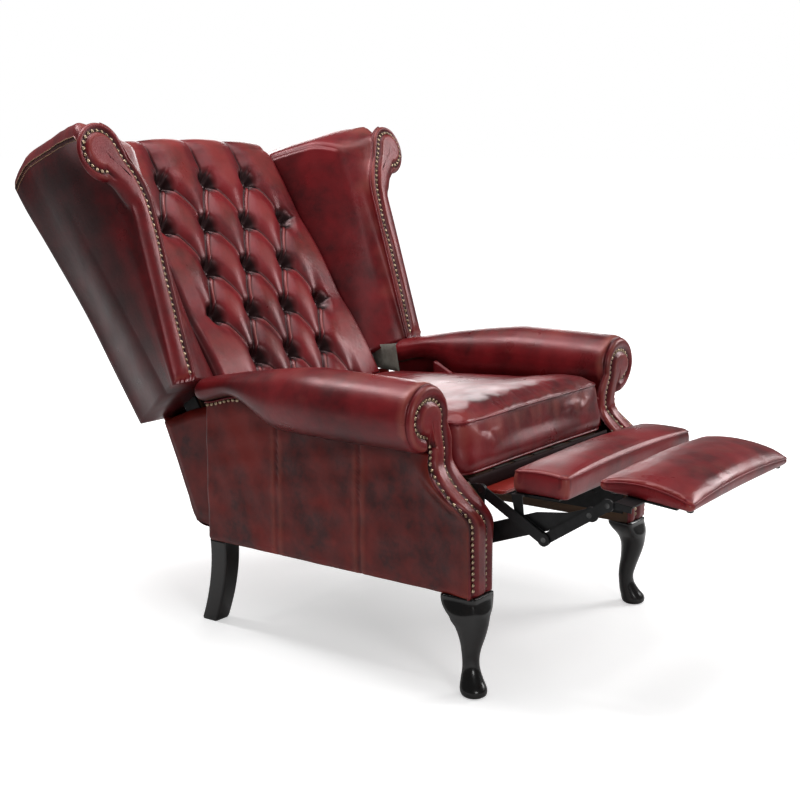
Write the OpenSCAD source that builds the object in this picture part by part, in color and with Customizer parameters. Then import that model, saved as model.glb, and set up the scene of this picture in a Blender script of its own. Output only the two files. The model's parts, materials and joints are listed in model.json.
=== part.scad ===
// High-back wing recliner with a buttoned back, scroll arms and a two-pad footrest.
// The model rests as it stands when fully reclined, with the footrest out.
// X runs across the chair, with the sitter's left at +X. The chair faces -Y and Z is up.

/* [Base] */
// Half the width across the two outside arm panels
base_half_w = 352; // [330:1:380]
// Front face of the base at its foot, measured forward from the origin
base_front = 332; // [315:1:350]
// Rear face of the base, measured back from the origin
base_rear = 338; // [320:1:360]
// Height of the underside of the base above the floor
leg_h = 194; // [150:1:230]
// Thickness of the leather and padding outside the arm
arm_skin = 10; // [6:1:14]
// Thickness of the plywood arm board
arm_board_t = 20; // [15:1:25]
// Thickness of the wooden side rail
side_rail_t = 37; // [30:1:37]
// Height of the wooden base rails
base_rail_h = 64; // [50:1:80]
// Depth of the wooden front post, back from the base's front face
post_depth = 57; // [45:1:60]
// Half the clear width between the front posts
throat_half_w = 285; // [282:1:287]

/* [Arms] */
// Height of the seam under the arm roll
seam_z = 459; // [445:1:470]
// Highest point of the arm roll at its front
roll_top_z = 593; // [580:1:610]
// Distance from the centre plane to the middle of the scroll
scroll_x = 374; // [366:1:382]
// Setback of the scroll face from the base's front face
neck_setback = 84; // [70:1:95]
// Thickness of the padded front facing
facing_t = 10; // [6:1:14]
// Half the clear width between the inside arms
seat_half_gap = 288; // [287:1:292]
// Rear end of the inside arm padding
inside_arm_rear = 200; // [150:5:203]
// Underside of the inside arm padding
inside_arm_z = 398; // [396:1:410]

/* [Legs] */
// Radius of the front pad foot
foot_r = 26; // [22:1:30]
// Radius of the front leg at its ankle
ankle_r = 17; // [13:1:20]
// How far the rear foot stands behind its top
rear_splay = 56; // [30:1:80]
// Side of the square rear leg
rear_leg_w = 45; // [38:1:46]
// Radius of the leg bolts
bolt_r = 4; // [3:0.5:5]

/* [Seat] */
// Half the width of the seat cushion
cushion_half_w = 286; // [270:1:286]
// Length of the seat cushion from front to rear
cushion_len = 590; // [560:1:592]
// Thickness of the cushion at its edge
cushion_t = 108; // [90:1:114]
// Extra height at the middle of the cushion
cushion_crown = 20; // [5:1:26]
// Distance of the cushion's front from the origin
seat_front = 268; // [262:1:272]
// Height of the seat frame's top at the cushion's front
seat_deck_z = 400; // [398:1:406]
// Slope of the seat down to the rear, in degrees
seat_tilt = 3.2; // [3:0.1:3.4]
// Height of the wooden seat frame
seat_frame_h = 26; // [22:1:27]
// Width of each wooden seat side rail
seat_rail_w = 43; // [35:1:43]
// How far the leather-covered front lip stands out
lip_reach = 50; // [30:1:52]

/* [Back] */
// Lean of the back from upright, in degrees
back_tilt = 34; // [33:0.5:35]
// Half the width of the buttoned inside back
back_half_w = 268; // [240:1:268]
// Height of the inside back along its slope, at the middle
back_h = 652; // [630:1:670]
// How much lower the inside back is at its sides
back_arch = 36; // [20:1:50]
// Distance between neighbouring buttons in the top row
button_gap = 140; // [120:1:144]
// How much closer the buttons of a row stand for each millimetre down the slope
button_taper = 0.055; // [0:0.005:0.06]
// Distance between button rows along the slope
row_gap = 114; // [100:1:116]
// Slope height of the top row of buttons
top_row_u = 526; // [500:1:540]
// Depth of the button pits
pit_depth = 27; // [10:1:30]
// Depth of the diagonal pleats
pleat_depth = 10; // [4:1:14]
// Width of each wooden back post
post_w = 40; // [32:1:44]
// Thickness of the wooden back posts and rails
post_t = 40; // [30:1:44]
// Depth from the button plane to the outside back
back_depth = 155; // [140:1:165]
// Thickness of the outside back panel
back_panel_t = 10; // [6:1:12]

/* [Wings] */
// Height of the wing scroll's centre along the slope
wing_scroll_u = 487; // [470:1:500]
// Distance from the centre plane to the wing scroll's centre
wing_scroll_x = 478; // [465:1:490]
// Radius of the wing scroll
wing_scroll_r = 58; // [50:1:62]
// Inner edge of the wing's front facing
wing_in_x = 372; // [360:1:380]
// Outer edge of the wing's front facing
wing_out_x = 434; // [425:1:440]
// Reach of the wing in front of the button plane at its foot
wing_foot_reach = 44; // [36:1:50]
// Gain in reach for each millimetre up the wing
wing_rake = 0.31; // [0.2:0.01:0.34]
// Thickness of the wing's front facing
wing_facing_t = 8; // [5:1:10]
// Thickness of the plywood wing frame
wing_board_t = 18; // [12:1:20]

/* [Footrest] */
// Half the width of the inner footrest pad
inner_half_w = 264; // [220:1:265]
// Depth of the inner footrest pad
inner_depth = 114; // [90:1:120]
// Thickness of the inner pad at its corners
inner_t = 43; // [34:1:44]
// Half the width of the outer footrest pad
outer_half_w = 228; // [200:1:240]
// Depth of the outer footrest pad
outer_depth = 182; // [150:1:184]
// Thickness of the outer pad at its corners
outer_t = 17; // [14:1:20]
// Thickness of the wooden board under each pad
board_t = 9; // [6:1:10]
// Thickness of the steel links and plates
steel_t = 3; // [2.5:0.5:3]
// Radius of the link pins
pin_r = 5; // [3:0.5:5.5]
// Radius of the rounded link ends
link_end_r = 12; // [10:0.5:13]
// Radius of the drive shaft
shaft_r = 9; // [7:0.5:10]

/* [Hidden] */

// Running clearance of a pin in its hole
pin_gap = 0.05;
// Air between parts that move past each other
air = 1;
// Seating gap of a soft form on a hard one
seat_gap = 0.3;

// Layers of the folding linkage, each a distance from the centre plane
plate_x = throat_half_w - steel_t;
rear_link_x = plate_x - air - steel_t;
front_link_x = rear_link_x - air - steel_t;
bracket_x = front_link_x - air - steel_t;
drive_link_x = bracket_x - air - steel_t;

// Pivots of the linkage as [y, z] with the footrest out
rear_link_pivot = [-300, 384];
knee_pivot = [-434, 310];
drive_pivot = [-524, 370];
front_link_len = 150;
front_link_dir = (drive_pivot - knee_pivot) / norm(drive_pivot - knee_pivot);
outer_pivot = knee_pivot + front_link_dir * front_link_len;
drive_len = 300;
drive_slope = -20.1;
drive_tail = drive_pivot + drive_len * [cos(drive_slope), sin(drive_slope)];
shaft_pivot = [-106.5, 325.5];
// Free play of the crank pin in the drive link's tail
tail_play = 4.5;
crank_pin_r = 4;

// Centres of the two footrest pads as [y, z]
inner_centre = [-414, 409];
outer_centre = [-606, 407];
outer_tilt = 5;
inner_underside = -25;
outer_underside = -10;

// Back hinge as [y, z] and its plate
back_hinge = [240, 345];
hinge_pin_r = 6;
back_bracket_t = 5;
back_bracket_x = 292;
// Where the button plane of the back meets the height of the cushion's top
back_foot = [0, 363.5, 490.6];

arm_out_x = base_half_w - arm_skin;
arm_mid_x = arm_out_x - arm_board_t;
post_rear = -base_front + post_depth;
rail_top_z = leg_h + base_rail_h;
slide_gap = 0.3;

// Helpers

function smooth(t) = let (c = min(1, max(0, t))) c * c * (3 - 2 * c);
function mix(a, b, t) = a + (b - a) * t;

// Front face of the arm at a height: straight below, drawn back to the neck above
function front_y(z) = -base_front + neck_setback * smooth((z - 330) / 125);

// Height of the seam under the roll at a distance from the origin
function seam_at(y) = seam_z + 51 * smooth((y - 100) / 145) - 19 * smooth((y - 245) / 93);

// A closed solid through rings with the same number of points.
// Rings run counter-clockwise as seen from the last ring.
// Each cap is a fan, or strips across the ring for a hollow outline. A mixed cap has strips on the first ring.
module loft(rings, cap = "fan") {
  n = len(rings[0]);
  m = len(rings);
  centre_low = [for (k = [0 : 2]) (max([for (p = rings[0]) p[k]]) + min([for (p = rings[0]) p[k]])) / 2];
  centre_high =
    [for (k = [0 : 2]) (max([for (p = rings[m - 1]) p[k]]) + min([for (p = rings[m - 1]) p[k]])) / 2];
  sides = [
    for (k = [0 : m - 2]) for (i = [0 : n - 1])
      let (a = k * n + i, b = k * n + (i + 1) % n, c = (k + 1) * n + (i + 1) % n, d = (k + 1) * n + i)
        each [[a, d, c], [a, c, b]]
  ];
  top = (m - 1) * n;
  fans = [
    for (i = [0 : n - 1]) each [[n * m, i, (i + 1) % n], [n * m + 1, top + (i + 1) % n, top + i]]
  ];
  strips = [
    for (i = [0 : n / 2 - 2])
      let (j = n - 1 - i)
        each [
          [i, i + 1, j - 1], [i, j - 1, j],
          [top + j - 1, top + i + 1, top + i], [top + j, top + j - 1, top + i]
        ]
  ];
  low_strips = [
    for (i = [0 : n / 2 - 2]) let (j = n - 1 - i) each [[i, i + 1, j - 1], [i, j - 1, j]]
  ];
  high_fan = [for (i = [0 : n - 1]) [n * m, top + (i + 1) % n, top + i]];
  points = [for (r = rings) each r];
  if (cap == "fan") {
    polyhedron(points = concat(points, [centre_low, centre_high]), faces = concat(sides, fans));
  } else if (cap == "strip") {
    polyhedron(points = points, faces = concat(sides, strips));
  } else {
    polyhedron(points = concat(points, [centre_high]), faces = concat(sides, low_strips, high_fan));
  }
}

// Outline of a rounded rectangle whose sides are drawn in by pull between the corners
function soft_loop(hx, hy, r, pull, z, side_n = 7, corner_n = 4) = let (
  corners = [[hx - r, hy - r, 0], [-hx + r, hy - r, 90], [-hx + r, -hy + r, 180], [hx - r, -hy + r, 270]],
  raw = [
    for (k = [0 : 3])
      let (c = corners[k], d = corners[(k + 1) % 4],
           e = [c[0] + r * cos(c[2] + 90), c[1] + r * sin(c[2] + 90)],
           f = [d[0] + r * cos(d[2]), d[1] + r * sin(d[2])])
        each concat(
          [for (i = [0 : corner_n])
            [c[0] + r * cos(c[2] + 90 * i / corner_n), c[1] + r * sin(c[2] + 90 * i / corner_n)]],
          [for (i = [1 : side_n]) e + (f - e) * i / (side_n + 1)]
        )
  ]
) [for (p = raw) [
    p[0] - sign(p[0]) * pull * max(0, 1 - pow(p[1] / hy, 2)) * pow(abs(p[0]) / hx, 4),
    p[1] - sign(p[1]) * pull * max(0, 1 - pow(p[0] / hx, 2)) * pow(abs(p[1]) / hy, 4),
    z
  ]];

// Stuffed pad: flat below, drawn-in sides and a domed top.
// The top stands lift_x and lift_y higher at the middles of its edges than at its corners.
module pad(hx, hy, z0, z1, crown, r, pull, lift_x = 0, lift_y = 0) {
  function dome(loop, f) = [
    for (p = loop)
      let (gx = 1 - pow(p[0] / hx, 2), gy = 1 - pow(p[1] / hy, 2))
        [p[0], p[1], p[2] + f * (lift_x * gy + lift_y * gx) + crown * gx * gy]
  ];
  inner = [0.86, 0.66, 0.4, 0.14];
  loft(concat(
    [
      soft_loop(hx - 4, hy - 4, r, pull, z0),
      soft_loop(hx - 0.5, hy - 0.5, r, pull, z0 + 4),
      dome(soft_loop(hx, hy, r, pull * 0.7, (z0 + z1) / 2), 0.5),
      dome(soft_loop(hx - 1, hy - 1, r, pull, z1 - 5), 1),
      dome(soft_loop(hx - 5, hy - 5, r, pull, z1), 1)
    ],
    [for (f = inner) dome(soft_loop((hx - 5) * f, (hy - 5) * f, r * f, pull * f, z1), 1)]
  ));
}

module on_side(side) {
  if (side > 0) children(); else mirror([1, 0, 0]) children();
}

module both_sides() {
  on_side(1) children();
  on_side(-1) children();
}

// A flat shape drawn as [y, z] that starts at x0 and is t thick along X
module across(x0, t) {
  translate([x0, 0, 0]) rotate([90, 0, 90]) linear_extrude(t) children();
}

// A flat shape drawn as [x, z] that starts at y0 and is t thick along Y
module along(y0, t) {
  translate([0, y0 + t, 0]) rotate([90, 0, 0]) linear_extrude(t) children();
}

// A pin along X between two distances from the centre plane
module pin(at, r, x0, x1) {
  translate([x0, at[0], at[1]]) rotate([0, 90, 0]) cylinder(r = r, h = x1 - x0, $fn = 32);
}

module on_seat() {
  translate([0, -seat_front, seat_deck_z]) rotate([-seat_tilt, 0, 0]) children();
}

// Local frame of the back: y is the depth behind the button plane, z is the height along the slope
module on_back() {
  translate(back_foot) rotate([-back_tilt, 0, 0]) children();
}

module on_outer_pad() {
  translate([0, outer_centre[0], outer_centre[1]]) rotate([outer_tilt, 0, 0]) children();
}

// Base

// Side view of the arm below the roll and behind the facing
arm_steps = 14;
front_zs = [for (i = [0 : arm_steps]) mix(318, seam_z, i / arm_steps)];
roll_ys = [for (i = [0 : arm_steps]) mix(-base_front + neck_setback + facing_t, base_rear, i / arm_steps)];
module arm_side() {
  polygon(concat(
    [[base_rear, leg_h], [-base_front + facing_t, leg_h]],
    [for (z = front_zs) [front_y(z) + facing_t, z]],
    [for (y = roll_ys) [y, seam_at(y)]]
  ));
}

module side_rails() {
  color("burlywood") both_sides()
    translate([throat_half_w, post_rear, leg_h])
      cube([side_rail_t, base_rear - 32 - post_rear, base_rail_h]);
}

module rear_rail() {
  color("burlywood") difference() {
    translate([-arm_mid_x, base_rear - 32, leg_h]) cube([2 * arm_mid_x, 32, base_rail_h]);
    both_sides() rear_leg_bolt(bolt_r + pin_gap);
  }
}

module front_posts() {
  color("burlywood") both_sides()
    difference() {
      across(throat_half_w, arm_out_x - throat_half_w) intersection() {
        arm_side();
        translate([-base_front, 0]) square([post_depth, seam_z]);
      }
      front_leg_bolt(bolt_r + pin_gap);
    }
}

module arm_board(side) {
  color("tan") on_side(side)
    across(arm_mid_x, arm_board_t) intersection() {
      arm_side();
      translate([post_rear, 0]) square([base_front + base_rear, seam_z + 100]);
    }
}

module arm_board_right() { arm_board(-1); }
module arm_board_left() { arm_board(1); }

module outside_arm(side) {
  color("#5c1a1c") on_side(side) across(arm_out_x, arm_skin) arm_side();
}

module outside_arm_right() { outside_arm(-1); }
module outside_arm_left() { outside_arm(1); }

module inside_arm(side) {
  color("#5c1a1c") on_side(side)
    across(seat_half_gap, arm_mid_x - seat_half_gap) intersection() {
      arm_side();
      translate([post_rear, inside_arm_z]) square([inside_arm_rear - post_rear, 200]);
    }
}

module inside_arm_right() { inside_arm(-1); }
module inside_arm_left() { inside_arm(1); }

// Top height, half width and middle of the roll at a distance from the origin
function roll_top(y) = roll_top_z + 4 - 4 * pow(min(0, y) / 248, 2) - 56 * pow(max(0, y) / base_rear, 1.3);
function roll_half_w(y) = 65 - 29 * smooth((y + 60) / (base_rear + 60));
function roll_mid(y) = scroll_x - 27 * smooth((y + 60) / (base_rear + 60));

// Section of the roll: an ellipse that runs down into the seam at both sides
function roll_ring(y) = let (
  low = seam_at(y), top = roll_top(y), rx = roll_half_w(y), cx = roll_mid(y),
  rz = (top - low) / 2 - 1, cz = top - rz,
  a0 = -acos(max(-0.6, (base_half_w - cx) / rx)), steps = 14
) concat(
  [[base_half_w, y, low]],
  [for (i = [0 : steps]) let (a = a0 + (180 - a0) * i / steps) [cx + rx * cos(a), y, cz + rz * sin(a)]],
  [[300, y, low]]
);

module arm_roll(side) {
  color("#6b1f22") on_side(side)
    loft([for (i = [arm_steps : -1 : 0]) roll_ring(roll_ys[i])]);
}

module arm_roll_right() { arm_roll(-1); }
module arm_roll_left() { arm_roll(1); }

// Front view of the arm: the scroll and the strip that runs down from it
module arm_front() {
  translate([scroll_x, roll_top_z - 65]) circle(r = 64, $fn = 64);
  polygon([
    [base_half_w, leg_h], [base_half_w, seam_z], [base_half_w + 14, seam_z + 18],
    [scroll_x, roll_top_z - 65], [scroll_x - 60, roll_top_z - 60],
    [seat_half_gap + 8, seam_z + 20], [seat_half_gap, seam_z - 30],
    [throat_half_w + 3, 345], [plate_x + 0.5, 325], [plate_x + 0.5, leg_h]
  ]);
}

module arm_facing(side) {
  heights = concat([leg_h], front_zs, [roll_top_z + 5]);
  steps = len(heights) - 1;
  color("#6b1f22") on_side(side) intersection() {
    across(0, scroll_x + 100) polygon(concat(
      [for (z = heights) [front_y(z), z]],
      [for (i = [steps : -1 : 0]) [front_y(heights[i]) + facing_t, heights[i]]]
    ));
    along(-base_front - 10, 200) arm_front();
  }
}

module arm_facing_right() { arm_facing(-1); }
module arm_facing_left() { arm_facing(1); }

// Section of a leg about its middle: reaches towards its outer front, inner rear, inner front
// and outer rear corners. The section is round when n is 2 and square when n is 1.
function leg_ring(cx, cy, of, ir, if_, or_, n, z) = [
  for (i = [0 : 19])
    let (
      t = -360 * i / 20 - 9, c = cos(t), s = sin(t),
      rho = 1 / pow(pow(abs(c), n) + pow(abs(s), n), 1 / n),
      a = rho * c * (c > 0 ? of : ir), b = rho * s * (s > 0 ? if_ : or_)
    ) [cx + (a - b) * 0.7071, cy - (a + b) * 0.7071, z]
];
function round_ring(cx, cy, r, z) = leg_ring(cx, cy, r, r, r, r, 2, z);

// Front leg: block and knee above, slim ankle, round pad foot
module front_leg(side) {
  top_x = base_half_w - 35;
  top_y = -base_front + 37;
  h = leg_h;
  foot_x = top_x + 12.5;
  foot_y = top_y - 25;
  color("#171213") on_side(side) difference() {
    loft([
      round_ring(foot_x, foot_y, foot_r - 7, 0),
      round_ring(foot_x, foot_y, foot_r - 2, 0.02 * h),
      round_ring(foot_x, foot_y + 1, foot_r, 0.06 * h),
      round_ring(foot_x - 1, foot_y + 3, foot_r - 1, 0.095 * h),
      round_ring(foot_x - 5, foot_y + 8, foot_r - 4.5, 0.155 * h),
      round_ring(top_x + 3, top_y - 12, ankle_r, 0.25 * h),
      round_ring(top_x + 2, top_y - 10.5, ankle_r - 0.5, 0.34 * h),
      round_ring(top_x + 4.5, top_y - 12.5, ankle_r + 1.5, 0.435 * h),
      leg_ring(top_x + 7, top_y - 15.5, 20, 20, 22, 22, 2, 0.52 * h),
      leg_ring(top_x + 10, top_y - 18, 22.5, 22.5, 27, 27, 2, 0.615 * h),
      leg_ring(top_x + 13, top_y - 18.5, 25, 25, 32, 32, 2, 0.7 * h),
      leg_ring(top_x + 15, top_y - 17, 28, 28.5, 36.5, 37, 1.8, 0.76 * h),
      leg_ring(top_x + 14, top_y - 15, 32, 31, 39.5, 40, 1.65, 0.805 * h),
      leg_ring(top_x + 10, top_y - 10, 40, 32, 45, 45, 1.45, 0.85 * h),
      leg_ring(top_x + 4, top_y - 4.5, 47, 33, 48, 50, 1.25, 0.9 * h),
      leg_ring(top_x, top_y, 51, 34, 51, 52, 1.12, 0.955 * h),
      leg_ring(top_x, top_y, 51, 34, 51, 52, 1.1, h)
    ]);
    front_leg_bolt(bolt_r + pin_gap);
  }
}

module front_leg_right() { front_leg(-1); }
module front_leg_left() { front_leg(1); }

// Rounded square section of the rear leg
function box_ring(cx, cy, half, r, z) = [
  for (k = [0 : 3]) for (i = [0 : 3])
    let (a = 90 * k + 30 * i, sx = k == 0 || k == 3 ? 1 : -1, sy = k < 2 ? 1 : -1)
      [cx + sx * (half - r) + r * cos(a), cy + sy * (half - r) + r * sin(a), z]
];

module rear_leg(side) {
  half = rear_leg_w / 2;
  top_y = base_rear - half;
  steps = 7;
  color("#171213") on_side(side) difference() {
    loft([for (i = [0 : steps])
      let (t = i / steps, drop = 1 - t)
        box_ring(arm_out_x - 18 - 25 * drop, top_y + rear_splay * pow(drop, 1.7), half - 1.5 * drop,
          5, leg_h * t)]);
    rear_leg_bolt(bolt_r + pin_gap);
  }
}

module rear_leg_right() { rear_leg(-1); }
module rear_leg_left() { rear_leg(1); }

module front_leg_bolt(r) {
  translate([base_half_w - 38, -base_front + 40, leg_h - 40]) cylinder(r = r, h = 80, $fn = 24);
}

module rear_leg_bolt(r) {
  translate([arm_mid_x - 12, base_rear - 15, leg_h - 40]) cylinder(r = r, h = 80, $fn = 24);
}

module leg_bolts() {
  color("silver") both_sides() {
    front_leg_bolt(bolt_r);
    rear_leg_bolt(bolt_r);
  }
}

// Mechanism on the base

module mechanism_plate(side) {
  color("#1b1b1d") on_side(side) across(plate_x, steel_t) difference() {
    union() {
      polygon([
        [-base_front + 22, leg_h + 20], [180, leg_h + 20], [200, leg_h + 60], [200, 350],
        shaft_pivot + [30, 28], rear_link_pivot + [10, link_end_r], rear_link_pivot + [-8, 9],
        [-base_front + 22, 350]
      ]);
      translate(rear_link_pivot) circle(r = link_end_r, $fn = 40);
    }
    translate(rear_link_pivot) circle(r = pin_r, $fn = 32);
    translate(shaft_pivot) circle(r = shaft_r + pin_gap, $fn = 40);
  }
}

module mechanism_plate_right() { mechanism_plate(-1); }
module mechanism_plate_left() { mechanism_plate(1); }

module base_pins() {
  color("silver") both_sides() {
    pin(rear_link_pivot, pin_r, rear_link_x, throat_half_w);
    difference() {
      pin(rear_link_pivot, pin_r + 3, rear_link_x - 3, rear_link_x - 0.3);
      pin(rear_link_pivot, pin_r - 2, rear_link_x - 4, rear_link_x);
    }
    pin(rear_link_pivot, pin_r - 1, rear_link_x - 3, rear_link_x);
    pin(back_hinge, hinge_pin_r, back_bracket_x - 1.5, arm_mid_x);
  }
}

module back_hinge_blocks() {
  color("burlywood") both_sides() difference() {
    translate([300, 205, rail_top_z]) cube([arm_mid_x - 300, 70, back_hinge[1] + 40 - rail_top_z]);
    pin(back_hinge, hinge_pin_r, 299, arm_mid_x + 1);
  }
}

module mechanism_cross_bar() {
  color("#1b1b1d") pin([150, leg_h + 45], 10, -plate_x, plate_x);
}

module seat_slide_rails() {
  top = -2 - seat_frame_h - slide_gap;
  color("#1b1b1d") both_sides() on_seat() {
    translate([plate_x - 61, 104, top - 3]) cube([61, 364, 3]);
    translate([plate_x - 3, 104, top - 17]) cube([3, 364, 14.5]);
  }
}

// Seat

seat_side_x = plate_x - 43;

module seat_side_rails() {
  color("burlywood") both_sides() on_seat()
    translate([seat_side_x - seat_rail_w, 0, -2 - seat_frame_h]) cube([seat_rail_w, 560, seat_frame_h]);
}

module seat_cross_rail(at) {
  half = seat_side_x - seat_rail_w;
  color("burlywood") on_seat()
    translate([-half, at, -2 - seat_frame_h]) cube([2 * half, 40, seat_frame_h]);
}

module seat_front_rail() { seat_cross_rail(0); }
module seat_rear_rail() { seat_cross_rail(520); }

// Straps woven over the seat frame
module seat_webbing() {
  count = 5;
  color("#2b2622") on_seat() translate([0, 0, -2]) {
    for (i = [0 : count - 1])
      translate([-150 + 75 * i - 25, 2, 0]) cube([50, 556, 2]);
    for (i = [0 : count])
      translate([-seat_side_x + 2, 50 + 86 * i, 0]) cube([2 * seat_side_x - 4, 50, 2]);
  }
}

module seat_cushion() {
  color("#6b1f22") on_seat() translate([0, cushion_len / 2, 0])
    pad(cushion_half_w, cushion_len / 2, seat_gap, cushion_t, cushion_crown, 26, 5);
}

module seat_lip() {
  color("#7a1d1d") on_seat()
    translate([-seat_side_x + 6, -lip_reach, -2 - seat_frame_h - 8])
      cube([2 * seat_side_x - 12, lip_reach + 60, 8]);
}

// Back

post_x = back_bracket_x - post_w;
post_front = 50;
pad_rear = post_front - 2;
post_foot_u = -25;
top_rail_u = 575;

module back_posts() {
  color("burlywood") both_sides() on_back()
    translate([post_x, post_front, post_foot_u]) cube([post_w, post_t, top_rail_u - post_foot_u]);
}

module back_cross_rail(u) {
  color("burlywood") on_back()
    translate([-post_x, post_front, u]) cube([2 * post_x, post_t, 42]);
}

module back_top_rail() { back_cross_rail(top_rail_u - 42); }
module back_bottom_rail() { back_cross_rail(post_foot_u); }

// Straps across the posts, under the inside back
module back_webbing() {
  color("#2b2622") on_back() {
    for (u = [10 : 85 : 520])
      translate([-back_bracket_x + 4, pad_rear, u]) cube([2 * back_bracket_x - 8, 2, 50]);
    for (x = [-190, -70, 50])
      translate([x, pad_rear, post_foot_u + 2]) cube([50, 2, 590]);
  }
}

// Top edge of the inside back, lower towards the sides
function back_top(x) = back_h - back_arch * pow(x / back_half_w, 2);

// Height of the buttoned surface over the button plane: pillows, pleats and pits.
// The pillows lie between diagonal pleats, and pleats run straight up from the top row.
pillow = 15;
function pleat_wave(t) = pow(abs(sin(180 * t)), 0.6);
function gap_at(u) = button_gap - button_taper * max(0, top_row_u - u);
function near_pit(x, u) = let (
  half_gap = gap_at(u) / 2, p = x / half_gap, q = (u - top_row_u) / row_gap,
  a = round((p + q) / 2), b = round((p - q) / 2),
  dx = (p - (a + b)) * half_gap, du = (q - (a - b)) * row_gap
) u > top_row_u + row_gap / 2 || abs(a + b) > 3 ? 0 : exp(-(dx * dx + du * du) / (17 * 17));
function tuft(x, u) = let (
  p = x / (gap_at(u) / 2), q = (u - top_row_u) / row_gap,
  over = smooth((u - top_row_u) / 45),
  diamond = min(pleat_wave((p + q) / 2), pleat_wave((p - q) / 2)),
  fluted = pleat_wave(p / 2)
) pillow - pleat_depth * (1 - mix(diamond, fluted, over)) - pit_depth * near_pit(x, u)
  - 30 * pow(max(0, (u - back_top(x) + 40) / 40), 2) * 0.6;

inside_back_foot = -30;
side_steps = 11;
function across_at(u) = concat(
  [-back_half_w],
  [for (i = [-side_steps : side_steps]) i * gap_at(u) / 6],
  [back_half_w]
);
row_step = row_gap / 5;
rows_below = floor((top_row_u - inside_back_foot - 4) / row_step);
straight_u = concat([inside_back_foot], [for (i = [-rows_below : 1]) top_row_u + i * row_step]);
crest_rows = 5;

function back_point(i, j) = let (
  n = len(straight_u), last = straight_u[n - 1],
  x = across_at(straight_u[min(j, n - 1)])[i],
  u = j < n ? straight_u[j] : mix(last, back_top(x), (j - n + 1) / crest_rows)
) [x, -tuft(x, u), u];

module inside_back() {
  nx = len(across_at(0));
  nu = len(straight_u) + crest_rows;
  front = [for (j = [0 : nu - 1]) for (i = [0 : nx - 1]) back_point(i, j)];
  rim = concat(
    [for (i = [0 : nx - 1]) i],
    [for (j = [1 : nu - 1]) j * nx + nx - 1],
    [for (i = [nx - 2 : -1 : 0]) (nu - 1) * nx + i],
    [for (j = [nu - 2 : -1 : 1]) j * nx]
  );
  nr = len(rim);
  behind = [for (k = rim) [front[k][0], pad_rear, front[k][2]]];
  base = nx * nu;
  color("#6b1f22") on_back() polyhedron(
    points = concat(front, behind, [[0, pad_rear, back_h / 2]]),
    faces = concat(
      [for (j = [0 : nu - 2]) for (i = [0 : nx - 2])
        let (a = j * nx + i, b = a + 1, c = a + nx + 1, d = a + nx) each [[a, d, c], [a, c, b]]],
      [for (k = [0 : nr - 1])
        let (a = rim[k], b = rim[(k + 1) % nr], c = base + (k + 1) % nr, d = base + k)
          each [[a, b, c], [a, c, d]]],
      [for (k = [0 : nr - 1]) [base + nr, base + k, base + (k + 1) % nr]]
    )
  );
}

// Rows alternate between three buttons and four
button_rows = 5;
module back_buttons() {
  deep = pleat_depth + pit_depth - pillow;
  color("#3c0f12") on_back()
    for (row = [0 : button_rows - 1]) {
      odd = row % 2;
      half = odd ? 1.5 : 1;
      row_u = top_row_u - row * row_gap;
      for (i = [-half : 1 : half])
        translate([i * gap_at(row_u), deep - 0.6, row_u]) rotate([90, 0, 0])
          rotate_extrude($fn = 24)
            polygon([[0, 0], [2, 4], [7, 12.5], [6, 15], [3.5, 16.3], [0, 16.8]]);
    }
}

// Upholstered crest over the top rail, from the inside back to the outside back
module back_crest() {
  steps = 12;
  half = back_bracket_x - seat_gap;
  front = pad_rear + seat_gap;
  rear = back_depth;
  color("#5c1a1c") on_back()
    loft([for (i = [0 : steps])
      let (x = mix(-half, half, i / steps), top = back_h + 8 - 19 * pow(x / half, 2))
        [
          [x, front, top_rail_u], [x, rear, top_rail_u], [x, rear, top - 22],
          [x, rear - 10, top - 6], [x, rear - 30, top], [x, front + 24, top], [x, front, top - 6]
        ]]);
}

// Outside edge of the back and wings at a height along the slope
function rear_x(u) = base_half_w + 1 + 0.068 * (u - 45);

module outside_back() {
  top = 625;
  steps = 12;
  color("#4e1517") on_back() along(back_depth, back_panel_t) polygon(concat(
    [[-rear_x(45), 45], [rear_x(45), 45], [rear_x(top) - 4, top]],
    [for (i = [0 : steps]) let (x = mix(rear_x(top) - 16, -rear_x(top) + 16, i / steps))
      [x, back_h - 6 - 10 * pow(x / rear_x(top), 2)]],
    [[-rear_x(top) + 4, top]]
  ));
}

// Wings

// Front plane of the wing: reach in front of the button plane at a height
function wing_reach(u) = wing_foot_reach + wing_rake * u;

// Wing outlines as [x, u] with the same number of points, up the inner edge and down the outer one
wing_side_steps = 6;
wing_arc_steps = 13;
wing_neck_u = wing_scroll_u - 115;

// Front outline: straight strip below, scroll above
function wing_front_outline() = concat(
  [for (i = [0 : wing_side_steps]) [wing_in_x, mix(27, wing_neck_u, i / wing_side_steps)]],
  [for (i = [0 : 3]) let (t = i / 4 + 0.1)
    [mix(wing_in_x, wing_scroll_x - wing_scroll_r + 6, t * t), mix(wing_neck_u + 12, wing_scroll_u, t)]],
  [for (i = [0 : wing_arc_steps]) let (a = 160 - 250 * i / wing_arc_steps)
    wing_scroll_centre() + wing_scroll_r * [cos(a), sin(a)]],
  [for (i = [0 : 1]) let (t = i / 2 + 0.3)
    [mix(wing_scroll_x - 10, wing_out_x + 6, t), mix(wing_scroll_u - wing_scroll_r - 2, wing_neck_u + 10, t)]],
  [for (i = [0 : wing_side_steps]) [wing_out_x, mix(wing_neck_u, 27, i / wing_side_steps)]]
);
function wing_scroll_centre() = [wing_scroll_x, wing_scroll_u];

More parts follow.
